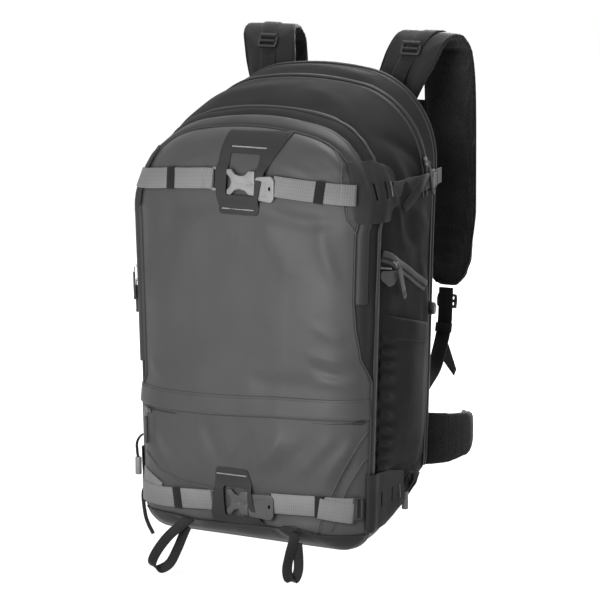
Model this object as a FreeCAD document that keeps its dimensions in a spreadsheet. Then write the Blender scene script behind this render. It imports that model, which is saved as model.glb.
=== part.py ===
"""Ski backpack: body shells, zips, patches, buckles, hinged back door and harness.

Bench frame, in millimetres: +X to the right as seen from the front, +Y towards
the wearer's back, +Z up, with z = 0 at the front edge of the base.  At the end
every sub-part is moved so that the origin is under the crown of the haul loop,
where the pack is hung or held.
"""
import FreeCAD, Part
import math
import os

import Sketcher

V = FreeCAD.Vector

# Driving sizes in millimetres: alias, value, what it is.
SIZES = [
    ("rear_depth", 108.0, "plane of the back rim"),
    ("zip_depth", 60.0, "plane of the main zip"),
    ("rib_depth", -40.0, "plane from which the sides draw in"),
    ("seam_depth", -65.0, "plane where the bulge of the front begins"),
    ("dome_rise", 41.0, "how far the front bulges"),
    ("rib_line", -62.0, "rear piping, down the sides"),
    ("rib_line_top", -33.0, "rear piping, over the top"),
    ("zip_line", -75.0, "front zip, down the sides"),
    ("zip_line_top", -49.0, "front zip, over the top"),
    ("panel_line", -88.0, "front piping, down the sides"),
    ("panel_line_top", -65.0, "front piping, over the top"),
    ("panel_line_base", -70.0, "front piping, beside the lower pocket"),
    ("lean_start", 385.0, "height from which the piping and zip lean back"),
    ("rear_half", 150.0, "half width at the back rim"),
    ("zip_half", 160.0, "half width at the main zip"),
    ("rib_half", 166.0, "half width where the sides draw in"),
    ("seam_half", 165.0, "half width where the front begins"),
    ("rear_top", 560.0, "height of the back rim"),
    ("zip_top", 547.0, "height at the main zip"),
    ("rib_top", 511.0, "height where the sides draw in"),
    ("seam_top", 500.0, "height where the front begins"),
    ("rear_base", 50.0, "underside at the back rim"),
    ("zip_base", 34.0, "underside at the main zip"),
    ("rib_base", 2.0, "underside where the sides draw in"),
    ("seam_base", 0.0, "underside where the front begins"),
    ("corner_round", 105.0, "radius of the upper corners"),
    ("crown_round", 420.0, "radius of the crowned top"),
    ("base_round", 34.0, "radius of the lower corners"),
    ("side_taper", 10.0, "how much narrower each side is at the base"),
    ("dome_inset", 96.0, "how far the front plateau is set in"),
    ("dome_base_inset", 60.0, "the same at the base"),
    ("fabric", 2.0, "wall of coated fabric with its lining"),
    ("ply_gap", 0.2, "gap between neighbouring plies"),
    ("ply", 1.0, "a sewn-on ply: patch, tape or boot"),
    ("coil", 1.0, "height of the zip coil over its tape"),
    ("tape_width", 13.0, "zip tape"),
    ("coil_width", 3.0, "zip coil"),
    ("webbing", 1.6, "thickness of webbing"),
    ("webbing_width", 25.0, "front webbing"),
    ("narrow_webbing", 20.0, "harness webbing"),
    ("loop_webbing", 10.0, "ice-axe loop webbing"),
    ("piping", 2.2, "how far the piping stands out"),
    ("piping_width", 2.4, "width of the piping"),
    ("upper_strap", 434.0, "height of the upper front strap"),
    ("lower_strap", 50.0, "height of the lower front strap"),
    ("flap_line", 175.0, "stitch line of the pocket flap"),
    ("pocket_line", 151.0, "zip of the lower pocket"),
    ("boot_line", 20.0, "top edge of the base boot at the front"),
    ("centre_shift", 12.0, "centre patches sit this far to the right"),
    ("patch_width", 88.0, "centre patch"),
    ("patch_top", 498.0, "top of the upper centre patch"),
    ("patch_foot", 399.0, "bottom of the upper centre patch"),
    ("window_width", 34.0, "window in a centre patch"),
    ("window_height", 46.0, "window in a centre patch"),
    ("side_patch", 62.0, "height of a side patch"),
    ("side_patch_front", 25.0, "how far a side patch reaches ahead of the bulge's start"),
    ("side_patch_rear", 34.0, "how far it reaches behind"),
    ("buckle_rim", 3.2, "rim of a moulded buckle"),
    ("buckle_plate", 3.4, "thickness of a moulded buckle"),
    ("buckle_length", 24.0, "length of a buckle frame"),
    ("hook_length", 40.0, "length of a buckle hook"),
    ("pocket_hem", 284.0, "hem of a side pocket, at its front"),
    ("pocket_hem_drop", 44.0, "how much lower the hem is at its back"),
    ("pocket_floor", 82.0, "bottom of a side pocket"),
    ("pocket_bulge", 11.0, "how far a side pocket stands off the side"),
    ("slider_width", 7.0, "zip slider"),
    ("slider_length", 11.0, "zip slider"),
    ("slider_height", 3.4, "zip slider"),
    ("slider_gap", 0.4, "running gap under a zip slider"),
    ("pull_width", 4.0, "zip pull"),
    ("pull_length", 34.0, "zip pull"),
    ("pull_plate", 2.0, "zip pull"),
    ("door_plate", 3.0, "back door laminate"),
    ("door_gap", 0.4, "gap between the back rim and the door"),
    ("door_foot", 52.0, "lower edge of the back door"),
    ("yoke_half", 37.5, "half width of the fixed yoke"),
    ("yoke_foot", 498.0, "lower edge of the fixed yoke"),
    ("yoke_gap", 0.6, "gap between yoke and door"),
    ("sheet_width", 236.0, "frame sheet"),
    ("sheet_length", 400.0, "frame sheet"),
    ("sheet_plate", 1.5, "frame sheet"),
    ("stay_width", 12.0, "aluminium stay"),
    ("stay_plate", 3.0, "aluminium stay"),
    ("stay_offset", 70.0, "stay from the middle"),
    ("pad_width", 74.0, "back pad"),
    ("pad_length", 268.0, "back pad"),
    ("pad_plate", 12.0, "back pad"),
    ("pad_offset", 58.0, "back pad from the middle"),
    ("lumbar_width", 200.0, "lumbar pad"),
    ("lumbar_height", 84.0, "lumbar pad"),
    ("lumbar_plate", 14.0, "lumbar pad"),
    ("wing_height", 78.0, "hip belt wing"),
    ("wing_plate", 12.0, "hip belt wing"),
    ("strap_width", 76.0, "shoulder strap"),
    ("strap_plate", 12.0, "shoulder strap"),
    ("haul_half", 26.0, "half the span of the haul loop"),
    ("haul_foot", 506.0, "foot of the haul loop"),
    ("haul_crown", 548.0, "underside of the haul loop's crown"),
    ("haul_width", 20.0, "haul loop webbing"),
    ("haul_plate", 2.6, "haul loop webbing, two plies"),
]


def make_sheet(doc):
    """Write the driving sizes to the spreadsheet and give each cell its alias."""
    sheet = doc.addObject("Spreadsheet::Sheet", "Dims")
    for row, (alias, value, note) in enumerate(SIZES, start=1):
        sheet.set(f"A{row}", alias)
        sheet.set(f"B{row}", str(value))
        sheet.set(f"C{row}", note)
        sheet.setAlias(f"B{row}", alias)
    doc.recompute()
    return sheet


doc = FreeCAD.newDocument("SkiBackpack")
sheet = make_sheet(doc)


def dim(alias):
    """A driving size, read from the spreadsheet."""
    return float(sheet.get(alias))


# ---------------------------------------------------------------- body form
class Station:
    """One upright section of the body: an arch with a crowned top and round corners."""

    def __init__(self, depth, half, top, base, inset=0.0, base_inset=0.0, out=1.0, ahead=0.0):
        self.depth = depth
        self.half = half - inset
        self.top = top - inset
        self.base = base + base_inset
        self.corner = dim("corner_round") - 0.6 * inset
        self.foot = dim("base_round") - 0.1 * inset
        self.out = out
        self.ahead = ahead

    def centre(self, offset=0.0):
        """Centre of the right upper corner's arc."""
        half = self.half + self.out * offset
        corner = self.corner + self.out * offset
        crown = dim("crown_round") + self.out * offset
        x = half - corner
        z = self.top + self.out * offset - crown + math.sqrt((crown - corner) ** 2 - x ** 2)
        return V(x, self.depth - self.ahead * offset, z)

    def wire(self, offset=0.0):
        """The arch, moved outwards by offset."""
        y = self.depth - self.ahead * offset
        half = self.half + self.out * offset
        top = self.top + self.out * offset
        base = self.base - self.out * offset
        corner = self.corner + self.out * offset
        crown = dim("crown_round") + self.out * offset
        foot = self.foot + self.out * offset
        centre = self.centre(offset)
        crown_centre = V(0, y, top - crown)
        spoke = (centre - crown_centre).normalize()
        shoulder = crown_centre + spoke * crown
        side = V(half, y, centre.z)
        turn = math.atan2(shoulder.z - centre.z, shoulder.x - centre.x) / 2
        corner_mid = centre + V(math.cos(turn), 0, math.sin(turn)) * corner
        low_half = half - dim("side_taper")
        heel = V(low_half, y, base + foot)
        sole = V(low_half - foot, y, base)
        foot_mid = V(low_half - foot + foot * math.cos(math.pi / 4), y, base + foot - foot * math.sin(math.pi / 4))

        def other(p):
            return V(-p.x, p.y, p.z)

        edges = [
            Part.LineSegment(other(sole), sole),
            Part.Arc(sole, foot_mid, heel),
            Part.LineSegment(heel, side),
            Part.Arc(side, corner_mid, shoulder),
            Part.Arc(shoulder, V(0, y, top), other(shoulder)),
            Part.Arc(other(shoulder), other(corner_mid), other(side)),
            Part.LineSegment(other(side), other(heel)),
            Part.Arc(other(heel), other(foot_mid), other(sole)),
        ]
        return Part.Wire([edge.toShape() for edge in edges])


def flank(name):
    """The station of one of the four named upright planes."""
    return Station(dim(f"{name}_depth"), dim(f"{name}_half"), dim(f"{name}_top"), dim(f"{name}_base"))


def dome(angle_deg):
    """A station of the front panel, where its elliptic bulge has turned by an angle."""
    angle = math.radians(angle_deg)
    rise = dim("dome_rise")
    inset = dim("dome_inset")
    slope = math.hypot(rise * math.cos(angle), inset * math.sin(angle))
    return Station(
        dim("seam_depth") - rise * math.sin(angle),
        dim("seam_half"),
        dim("seam_top"),
        dim("seam_base"),
        inset=inset * (1 - math.cos(angle)),
        base_inset=dim("dome_base_inset") * (1 - math.cos(angle)),
        out=rise * math.cos(angle) / slope,
        ahead=inset * math.sin(angle) / slope,
    )


DOME_TURNS = (0, 20, 40, 56, 72, 90)
STATIONS = [flank("rear"), flank("zip"), flank("rib")] + [dome(turn) for turn in DOME_TURNS]
FORMS = {}
REACH = 400.0  # longer than any half size of the pack


def form(offset):
    """The body's outer form, moved outwards by offset, as one closed solid."""
    if offset not in FORMS:
        FORMS[offset] = Part.makeLoft([station.wire(offset) for station in STATIONS], True, True)
    return FORMS[offset]


def block(x0, x1, y0, y1, z0, z1):
    """A box between three pairs of planes."""
    return Part.makeBox(x1 - x0, y1 - y0, z1 - z0, V(x0, y0, z0))


def side_prism(points, x0, x1):
    """A polygon of (y, z) points drawn out along X."""
    corners = [V(x0, y, z) for y, z in points]
    return Part.Face(Part.makePolygon(corners + corners[:1])).extrude(V(x1 - x0, 0, 0))


def front_prism(points, y0, y1):
    """A polygon of (x, z) points drawn out along Y."""
    corners = [V(x, y0, z) for x, z in points]
    return Part.Face(Part.makePolygon(corners + corners[:1])).extrude(V(0, y1 - y0, 0))


def layer(inner, outer, region):
    """The ply between two offsets of the form, inside a region."""
    return form(outer).common(region).cut(form(inner))


def skin_point(start, towards, offset):
    """Where a line from outside the pack first meets the form at an offset."""
    line = Part.makeLine(start, start + towards * REACH)
    hit = form(offset).common(line)
    return min((vertex.Point for vertex in hit.Vertexes), key=lambda p: (p - start).Length)


def front_point(x, z, offset):
    """The point of the front face at an offset, straight ahead of (x, z)."""
    return skin_point(V(x, -REACH, z), V(0, 1, 0), offset)


def side_point(side, y, z, offset):
    """The point of a side (+1 right, -1 left) at an offset."""
    return skin_point(V(side * REACH, y, z), V(-side, 0, 0), offset)


# ---------------------------------------------------------------- helpers
OBJECTS = []


def keep(obj, node):
    """Label an object as a sub-part of the pack."""
    obj.Label = node
    OBJECTS.append(obj)
    return obj


def feature(node, shape):
    """A sub-part whose shape is made with Part's own functions."""
    obj = doc.addObject("Part::Feature", node.title().replace("_", ""))
    obj.Shape = shape
    return keep(obj, node)


def group(node, shapes):
    """Like pieces that share one node, as separate solids."""
    return feature(node, Part.makeCompound([solid for shape in shapes for solid in shape.Solids]))


def mirrored(shape):
    """The same piece on the other side of the pack."""
    return shape.mirror(V(0, 0, 0), V(1, 0, 0))


def facing(point, along, out):
    """A placement whose local X is along and whose local Z is out."""
    out = V(out).normalize()
    along = (V(along) - out * V(along).dot(out)).normalize()
    return FreeCAD.Placement(point, FreeCAD.Rotation(along, out.cross(along), out, "ZXY"))


def add_rectangle(sketch, centre_x, centre_y, width, height):
    """A rectangle whose place and size are bound to the sheet by expressions."""
    values = [evaluate(text) for text in (centre_x, centre_y, width, height)]
    x0 = values[0] - values[2] / 2
    y0 = values[1] - values[3] / 2
    corners = [V(x0, y0), V(x0 + values[2], y0), V(x0 + values[2], y0 + values[3]), V(x0, y0 + values[3])]
    first = sketch.GeometryCount
    sketch.addGeometry([Part.LineSegment(corners[i], corners[(i + 1) % 4]) for i in range(4)], False)
    for i in range(4):
        sketch.addConstraint(Sketcher.Constraint("Coincident", first + i, 2, first + (i + 1) % 4, 1))
    for i in (0, 2):
        sketch.addConstraint(Sketcher.Constraint("Horizontal", first + i))
        sketch.addConstraint(Sketcher.Constraint("Vertical", first + i + 1))
    bound = [
        ("DistanceX", (first, 1, first, 2), width, values[2]),
        ("DistanceY", (first + 1, 1, first + 1, 2), height, values[3]),
        ("DistanceX", (-1, 1, first, 1), f"({centre_x}) - ({width}) / 2", x0),
        ("DistanceY", (-1, 1, first, 1), f"({centre_y}) - ({height}) / 2", y0),
    ]
    for kind, places, text, value in bound:
        index = sketch.addConstraint(Sketcher.Constraint(kind, *places, value))
        sketch.setExpression(f"Constraints[{index}]", text)


def evaluate(text):
    """The value of an expression over the sheet's aliases."""
    return float(sheet.evalExpression(text))


def plate(node, width, height, thick, round_to, windows=()):
    """A PartDesign plate with rounded corners and rectangular windows, lying on XY."""
    body = doc.addObject("PartDesign::Body", node.title().replace("_", ""))
    sketch = body.newObject("Sketcher::SketchObject", "Outline")
    origin_plane = [item for item in body.Origin.OriginFeatures if item.Role == "XY_Plane"][0]
    sketch.AttachmentSupport = [(origin_plane, "")]
    sketch.MapMode = "FlatFace"
    add_rectangle(sketch, "0", "0", width, height)
    for window in windows:
        add_rectangle(sketch, *window)
    pad = body.newObject("PartDesign::Pad", "Plate")
    pad.Profile = sketch
    pad.setExpression("Length", thick)
    doc.recompute()
    half = V(evaluate(width) / 2, evaluate(height) / 2, 0)
    corners = [
        f"Edge{index + 1}"
        for index, edge in enumerate(pad.Shape.Edges)
        if edge.BoundBox.ZLength > 0.5 * evaluate(thick)
        and abs(abs(edge.Vertexes[0].X) - half.x) < 0.01
        and abs(abs(edge.Vertexes[0].Y) - half.y) < 0.01
    ]
    fillet = body.newObject("PartDesign::Fillet", "Corners")
    fillet.Base = (pad, corners)
    fillet.setExpression("Radius", round_to)
    doc.recompute()
    return body


def copies(node, body, placements):
    """One node that holds a plate at several places, as separate solids."""
    shape = body.Shape.copy()
    return group(node, [shape.transformed(place.toMatrix()) for place in placements])


def path(points, share):
    """Straight runs joined by tangent arcs, each arc taking a share of its shorter run."""
    edges = []
    last = points[0]
    for before, corner, after in zip(points, points[1:], points[2:]):
        back = before - corner
        ahead = after - corner
        cut = share * min(back.Length, ahead.Length)
        back.normalize()
        ahead.normalize()
        half_angle = back.getAngle(ahead) / 2
        radius = cut * math.tan(half_angle)
        start = corner + back * cut
        end = corner + ahead * cut
        middle = corner + (back + ahead).normalize() * (radius / math.sin(half_angle) - radius)
        edges.append(Part.LineSegment(last, start).toShape())
        edges.append(Part.Arc(start, middle, end).toShape())
        last = end
    edges.append(Part.LineSegment(last, points[-1]).toShape())
    return Part.Wire(edges)


def strip(points, width, thick, across, share=0.42):
    """Flat webbing or padding swept along a path, its width kept along one direction."""
    wire = path(points, share)
    tangent = (points[1] - points[0]).normalize()
    normal = tangent.cross(across).normalize()
    side = normal.cross(tangent).normalize()
    signs = ((-1, -1), (1, -1), (1, 1), (-1, 1))
    corners = [points[0] + side * (sx * width / 2) + normal * (sy * thick / 2) for sx, sy in signs]
    sweep = Part.BRepOffsetAPI.MakePipeShell(wire)
    sweep.setBiNormalMode(across)
    sweep.setTransitionMode(1)
    sweep.add(Part.makePolygon(corners + corners[:1]))
    sweep.build()
    sweep.makeSolid()
    return sweep.shape()


# Offsets of the plies, outwards from the shell's outer face.
PLY_IN = dim("ply_gap")
PLY_OUT = PLY_IN + dim("ply")
COIL_OUT = PLY_OUT + dim("coil")
WEB_IN = PLY_OUT + dim("ply_gap")
WEB_OUT = WEB_IN + dim("webbing")


def between(y0, y1, z0=-REACH, z1=2 * REACH, x0=-REACH, x1=REACH):
    """The part of space between two upright planes, and other limits where given."""
    return block(x0, x1, y0, y1, z0, z1)


# ---------------------------------------------------------------- lines round the body
def line(name, shift=0.0):
    """The (y, z) points of a line that runs down both sides and leans back over the top."""
    low = dim(f"{name}_line") + shift
    top = dim(f"{name}_line_top") + shift
    lean_start = dim("lean_start")
    lean = (top - low) / (dim("rib_top") - lean_start)
    points = [(low, -REACH), (low, lean_start), (low + lean * REACH, lean_start + REACH)]
    if name == "panel":
        base = dim("panel_line_base") + shift
        points[:1] = [(base, -REACH), (base, dim("pocket_line")), (low, dim("flap_line") + dim("tape_width"))]
    return points


def band(front_line, rear_line):
    """The space between two such lines, across the whole width."""
    return side_prism(front_line + rear_line[::-1], -REACH, REACH)


def ahead_of(front_line):
    """The space in front of such a line."""
    return side_prism(front_line + [(-2 * REACH, 3 * REACH), (-2 * REACH, -REACH)], -REACH, REACH)


def behind(rear_line):
    """The space behind such a line."""
    return side_prism(rear_line + [(2 * REACH, 3 * REACH), (2 * REACH, -REACH)], -REACH, REACH)


# ---------------------------------------------------------------- shells
def build_shells():
    """Walls of the main compartment and front pocket, their divider and piping."""
    wall = form(0.0).cut(form(-dim("fabric")))
    edge = dim("piping_width") / 2
    clear = edge + dim("ply_gap")
    front = wall.common(ahead_of(line("panel", -clear)))
    pocket_line = dim("pocket_line")
    feature("main_shell", wall.common(behind(line("rib", clear))))
    feature("front_gusset", wall.common(band(line("panel", clear), line("rib", -clear))))
    feature("front_panel", front.common(between(-REACH, REACH, z0=pocket_line + dim("ply_gap"))))
    feature("lower_pocket_panel", front.common(between(-REACH, REACH, z1=pocket_line)))
    rings = [band(line(name, -edge), line(name, edge)) for name in ("rib", "panel")]
    group("piping", [layer(-dim("fabric"), dim("piping"), ring) for ring in rings])
    inside = form(-dim("fabric") - dim("ply_gap"))
    feature("divider", inside.common(band(line("rib", clear), line("rib", clear + dim("fabric")))))
    flap = ahead_of(line("panel", -clear)).common(
        between(-REACH, REACH, z0=pocket_line + dim("ply_gap"), z1=dim("flap_line")))
    feature("pocket_flap", layer(PLY_IN, PLY_OUT, flap))


def boot_region():
    """Everything below the boot's top edge, which rises to the rear with the base."""
    slope = (dim("rear_base") - dim("seam_base")) / (dim("rear_depth") - dim("seam_depth"))

    def height(y):
        return dim("boot_line") + slope * (y - dim("seam_depth"))

    rear = dim("rear_depth") - dim("tape_width") - 3 * dim("ply_gap")
    outline = [(-REACH, -REACH), (rear, -REACH), (rear, height(rear)), (-REACH, dim("boot_line"))]
    outline.insert(3, (dim("seam_depth"), dim("boot_line")))
    return side_prism(outline, -REACH, REACH)


def build_boot():
    """The base boot, notched where the piping and lower straps pass."""
    boot = layer(PLY_IN, PLY_OUT, boot_region())
    edge = dim("piping_width") / 2 + dim("ply_gap")
    for name in ("rib", "panel"):
        boot = boot.cut(band(line(name, -edge), line(name, edge)))
    group("base_boot", [boot])


# ---------------------------------------------------------------- zips
def zip_strip(tape_region, coil_region):
    """Zip tape with its coil, one ply on the shell."""
    tape = layer(PLY_IN, PLY_OUT, tape_region)
    return tape.fuse(layer(PLY_OUT - 0.01, COIL_OUT, coil_region))


def ring_zip(y, z_low):
    """A zip that runs over the top and down both sides, in one upright plane."""
    tape = dim("tape_width") / 2
    coil = dim("coil_width") / 2
    return zip_strip(between(y - tape, y + tape, z0=z_low), between(y - coil, y + coil, z0=z_low))


FRONT_ZIP_Y = dim("zip_line")
SIDE_ZIP_ENDS = ((-34.0, 349.0), (52.0, 312.0))  # (y, z) of the slanted side zip
FRONT_ZIP_LOW = 204.0
MAIN_ZIP_LOW = 412.0


def side_zip_region(width):
    """A slanted band on the right side, along the side pocket's zip."""
    (y0, z0), (y1, z1) = SIDE_ZIP_ENDS
    run = V(0, y1 - y0, z1 - z0).normalize()
    up = V(0, -run.z, run.y) * (width / 2)
    start = V(0, y0, z0)
    end = V(0, y1, z1)
    corners = [start + up, end + up, end - up, start - up]
    return side_prism([(p.y, p.z) for p in corners], 0, REACH)


def build_zips():
    """The five zips of the pack."""
    tape = dim("tape_width")
    coil = dim("coil_width")
    above = between(-REACH, REACH, z0=FRONT_ZIP_LOW)
    strips = [band(line("zip", -w / 2), line("zip", w / 2)).common(above) for w in (tape, coil)]
    feature("front_zip", zip_strip(*strips))
    feature("main_zip", ring_zip(dim("zip_depth"), MAIN_ZIP_LOW))
    door_y = dim("rear_depth") - tape / 2 - dim("ply_gap")
    feature("door_zip", ring_zip(door_y, dim("door_foot") + tape))
    front = dim("panel_line_base") - dim("piping_width")
    edge = dim("pocket_line") - dim("ply_gap")
    mouth = between(-REACH, front, z0=edge - tape / 2, z1=edge)
    middle = edge - tape / 4
    ridge = between(-REACH, front, z0=middle - coil / 2, z1=middle + coil / 2)
    feature("pocket_zip", zip_strip(mouth, ridge))
    feature("side_zip", zip_strip(side_zip_region(tape), side_zip_region(coil)))


# ---------------------------------------------------------------- side pockets
POCKET_FRONT = -34.0
POCKET_REAR = 92.0


def side_pocket():
    """The right stretch pocket: an open-topped pouch that stands off the side."""
    hem = dim("pocket_hem")
    drop = dim("pocket_hem_drop")
    floor = dim("pocket_floor")
    seam = 3 * dim("ply")
    rim = [(POCKET_REAR, hem - drop), (POCKET_FRONT, hem)]
    outer = side_prism([(POCKET_FRONT, floor), (POCKET_REAR, floor)] + rim, 0, REACH)
    high = [(POCKET_REAR - seam, hem + drop), (POCKET_FRONT + seam, hem + drop)]
    low = [(POCKET_FRONT + seam, floor + seam), (POCKET_REAR - seam, floor + seam)]
    pouch = side_prism(low + high, 0, REACH)
    bulge = dim("pocket_bulge")
    solid = layer(PLY_IN, bulge + dim("ply"), outer)
    return solid.cut(form(bulge).common(pouch))


def build_side_pockets():
    """Both side pockets."""
    right = side_pocket()
    feature("side_pocket_right", right)
    feature("side_pocket_left", mirrored(right))


# ---------------------------------------------------------------- front patches
def centre_patch(low, high, window_centre):
    """A centre patch with its window and two webbing slots."""
    mid = dim("centre_shift")
    half = dim("patch_width") / 2
    waist = half - 4
    outline = [
        (mid - waist, low), (mid + half, low), (mid + waist, window_centre),
        (mid + waist - 4, high), (mid - half, high), (mid - waist, window_centre),
    ]
    front = ahead_of(line("panel", -dim("piping_width") / 2 - dim("ply_gap")))
    patch = layer(PLY_IN, PLY_OUT, front_prism(outline, -REACH, 0).common(front))
    width = dim("window_width") / 2
    height = dim("window_height") / 2
    window = block(mid - width - 6, mid + width - 6, -REACH, 0, window_centre - height, window_centre + height)
    return patch.cut(window)


def side_patch(height_at, front_reach, rear_reach, slots):
    """A six-sided patch wrapped over the front seam on the right side, with webbing slots."""
    seam = dim("seam_depth")
    half = dim("side_patch") / 2
    bevel = half * 0.55
    outline = [
        (seam - front_reach, height_at - bevel), (seam - front_reach + 9, height_at - half),
        (seam + rear_reach - 8, height_at - half), (seam + rear_reach, height_at - bevel),
        (seam + rear_reach, height_at + bevel), (seam + rear_reach - 8, height_at + half),
        (seam - front_reach + 9, height_at + half), (seam - front_reach, height_at + bevel),
    ]
    lift = dim("piping")
    patch = layer(lift + PLY_IN, lift + PLY_OUT, side_prism(outline, 0, REACH))
    for y, length in slots:
        patch = patch.cut(side_prism(slot_outline(y, height_at, length), 0, REACH))
    return patch


SLOT_WIDTH = 3.0


def slot_outline(y, z, length):
    """An upright slot, as a (y, z) polygon."""
    return [
        (y - SLOT_WIDTH / 2, z - length / 2), (y + SLOT_WIDTH / 2, z - length / 2),
        (y + SLOT_WIDTH / 2, z + length / 2), (y - SLOT_WIDTH / 2, z + length / 2),
    ]


def build_patches():
    """The centre patches and the four side patches."""
    feature("upper_centre_patch", centre_patch(dim("patch_foot"), dim("patch_top"), dim("upper_strap")))
    low = dim("boot_line") + dim("ply_gap")
    feature("lower_centre_patch", centre_patch(low, dim("lower_strap") + 42, dim("lower_strap") + 2))
    ahead = dim("side_patch_front")
    rear = dim("side_patch_rear")
    slots = ((dim("seam_depth") + 12, 20.0), (dim("seam_depth") + 22, 14.0))
    upper = side_patch(dim("upper_strap"), ahead, rear, slots)
    lower = side_patch(dim("lower_strap") + 6, ahead - 6, rear - 4, slots)
    pieces = [upper, lower]
    group("side_patches", pieces + [mirrored(piece) for piece in pieces])


# ---------------------------------------------------------------- front straps
STRAP_LIFT = dim("piping") + PLY_OUT + dim("ply_gap")
KEEPERS = (-110.0, 102.0)


def front_strap(x0, x1, height_at):
    """Webbing laid along the front between two upright planes."""
    half = dim("webbing_width") / 2
    region = block(x0, x1, -REACH, dim("seam_depth") - 2, height_at - half, height_at + half)
    return layer(STRAP_LIFT, STRAP_LIFT + dim("webbing"), region)


def keeper(x, height_at):
    """A flat elastic keeper around the front webbing."""
    half = dim("webbing_width") / 2 + dim("ply_gap") + dim("ply")
    depth = -REACH
    rear = dim("seam_depth") - 2
    outer = block(x - 5, x + 5, depth, rear, height_at - half, height_at + half)
    inner = block(x - 6, x + 6, depth, rear, height_at - half + dim("ply"), height_at + half - dim("ply"))
    low = STRAP_LIFT - dim("ply_gap") - dim("ply")
    high = STRAP_LIFT + dim("webbing") + dim("ply_gap")
    ring = layer(low, high + dim("ply"), outer)
    return ring.cut(layer(low + dim("ply"), high, inner))


def build_front_straps():
    """The two straps across the front: webbing halves, keepers, buckles and hooks."""
    mid = dim("centre_shift")
    half_patch = dim("patch_width") / 2
    outer = dim("seam_half") - 12
    hook_gap = dim("slider_gap")
    frame = dim("buckle_length")
    frame_x = mid + half_patch - frame / 2 - 6
    keepers = []
    for level in ("upper", "lower"):
        height_at = dim(f"{level}_strap")
        right_start = frame_x + frame / 2 + hook_gap
        left_end = frame_x - frame / 2 - dim("hook_length") - 2 * hook_gap
        feature(f"{level}_webbing_right", front_strap(right_start, outer, height_at))
        feature(f"{level}_webbing_left", front_strap(-outer, left_end, height_at))
        keepers += [keeper(x, height_at) for x in KEEPERS]
        frame_width = "Dims.webbing_width + 2 * Dims.buckle_rim"
        windows = [("Dims.buckle_length / 4", "0", "Dims.buckle_rim * 1.4", "Dims.webbing_width * 0.45")]
        body = plate(f"{level}_buckle_frame", "Dims.buckle_length", frame_width, "Dims.buckle_plate",
                     "Dims.buckle_rim", windows)
        base = front_point(frame_x + frame / 2, height_at, STRAP_LIFT)
        lift = base.y
        body.Placement = facing(V(frame_x, lift, height_at), V(1, 0, 0), V(0, -1, 0))
        keep(body, f"{level}_buckle_frame")
        hook(level, height_at, frame_x - frame / 2 - hook_gap, lift)
    group("webbing_keepers", keepers)


def hook(level, height_at, right_edge, lift):
    """The hook that drops into the buckle frame: a waisted plate with a webbing bar."""
    windows = [("-Dims.hook_length / 2 + Dims.buckle_rim * 1.6", "0", "Dims.buckle_rim", "Dims.webbing_width"),
               ("Dims.hook_length * 0.1", "Dims.window_height * 0.22", "Dims.hook_length * 0.34",
                "Dims.buckle_rim * 1.6"),
               ("Dims.hook_length * 0.1", "-Dims.window_height * 0.22", "Dims.hook_length * 0.34",
                "Dims.buckle_rim * 1.6")]
    body = plate(f"{level}_buckle_hook", "Dims.hook_length", "Dims.window_height - 4 * Dims.ply", "Dims.buckle_plate",
                 "Dims.buckle_rim * 2", windows)
    body.Placement = facing(V(right_edge - dim("hook_length") / 2, lift, height_at), V(1, 0, 0), V(0, -1, 0))
    keep(body, f"{level}_buckle_hook")


# ---------------------------------------------------------------- side compression straps
def compression_strap():
    """The black strap along the right side's upper edge, from the side patch to the back."""
    half = dim("narrow_webbing") / 2
    height_at = dim("upper_strap") - 4
    front = dim("seam_depth") + dim("side_patch_rear") + dim("ply_gap")
    region = block(0, REACH, front, dim("rear_depth") - dim("tape_width") - 4, height_at - half, height_at + half)
    lift = COIL_OUT + dim("ply_gap")
    return layer(lift, lift + dim("webbing"), region)


def build_compression_straps():
    """Both compression straps and their adjusting buckles."""
    right = compression_strap()
    group("compression_straps", [right, mirrored(right)])
    windows = [("Dims.buckle_rim * 1.2", "0", "Dims.buckle_rim", "Dims.narrow_webbing")]
    body = plate("compression_buckle", "Dims.buckle_length", "Dims.narrow_webbing + 2 * Dims.buckle_rim",
                 "Dims.buckle_plate", "Dims.buckle_rim", windows)
    height_at = dim("upper_strap") - 4
    lift = COIL_OUT + 2 * dim("ply_gap") + dim("webbing")
    y = dim("zip_depth") + 16
    seat = side_point(1, y, height_at, lift)
    ahead = side_point(1, y + 10, height_at, lift)
    along = ahead - seat
    out = V(along.y, -along.x, 0)
    places = [facing(seat + V(0.3, 0, 0), along, out)]
    mirror_along = V(-along.x, along.y, along.z)
    places.append(facing(V(-seat.x - 0.3, seat.y, seat.z), mirror_along, V(-out.x, out.y, 0)))
    copies("compression_buckles", body, places)
    return body


# ---------------------------------------------------------------- ice-axe loops
LOOP_DROP = {"left": (-78.0, -118.0, -46.0), "right": (74.0, 71.0, -38.0)}
LOOP_GAP = 9.0
LOOP_STUB = 1.0


def loop_anchor(side):
    """Point where a loop is sewn into the boot's top seam, clear of the boot."""
    x = LOOP_DROP[side][0]
    seat = front_point(x, dim("boot_line"), PLY_OUT)
    return V(x, seat.y - dim("webbing") / 2 - 0.6, dim("boot_line"))


def loop_pivot(side):
    """Point about which a loop swings: level with the highest corner of its webbing."""
    top = loop_anchor(side)
    lean = math.atan2(abs(LOOP_DROP[side][1] - top.x), top.z - LOOP_DROP[side][2])
    return top + V(0, 0, LOOP_STUB + dim("loop_webbing") / 2 * math.sin(lean))


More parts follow.
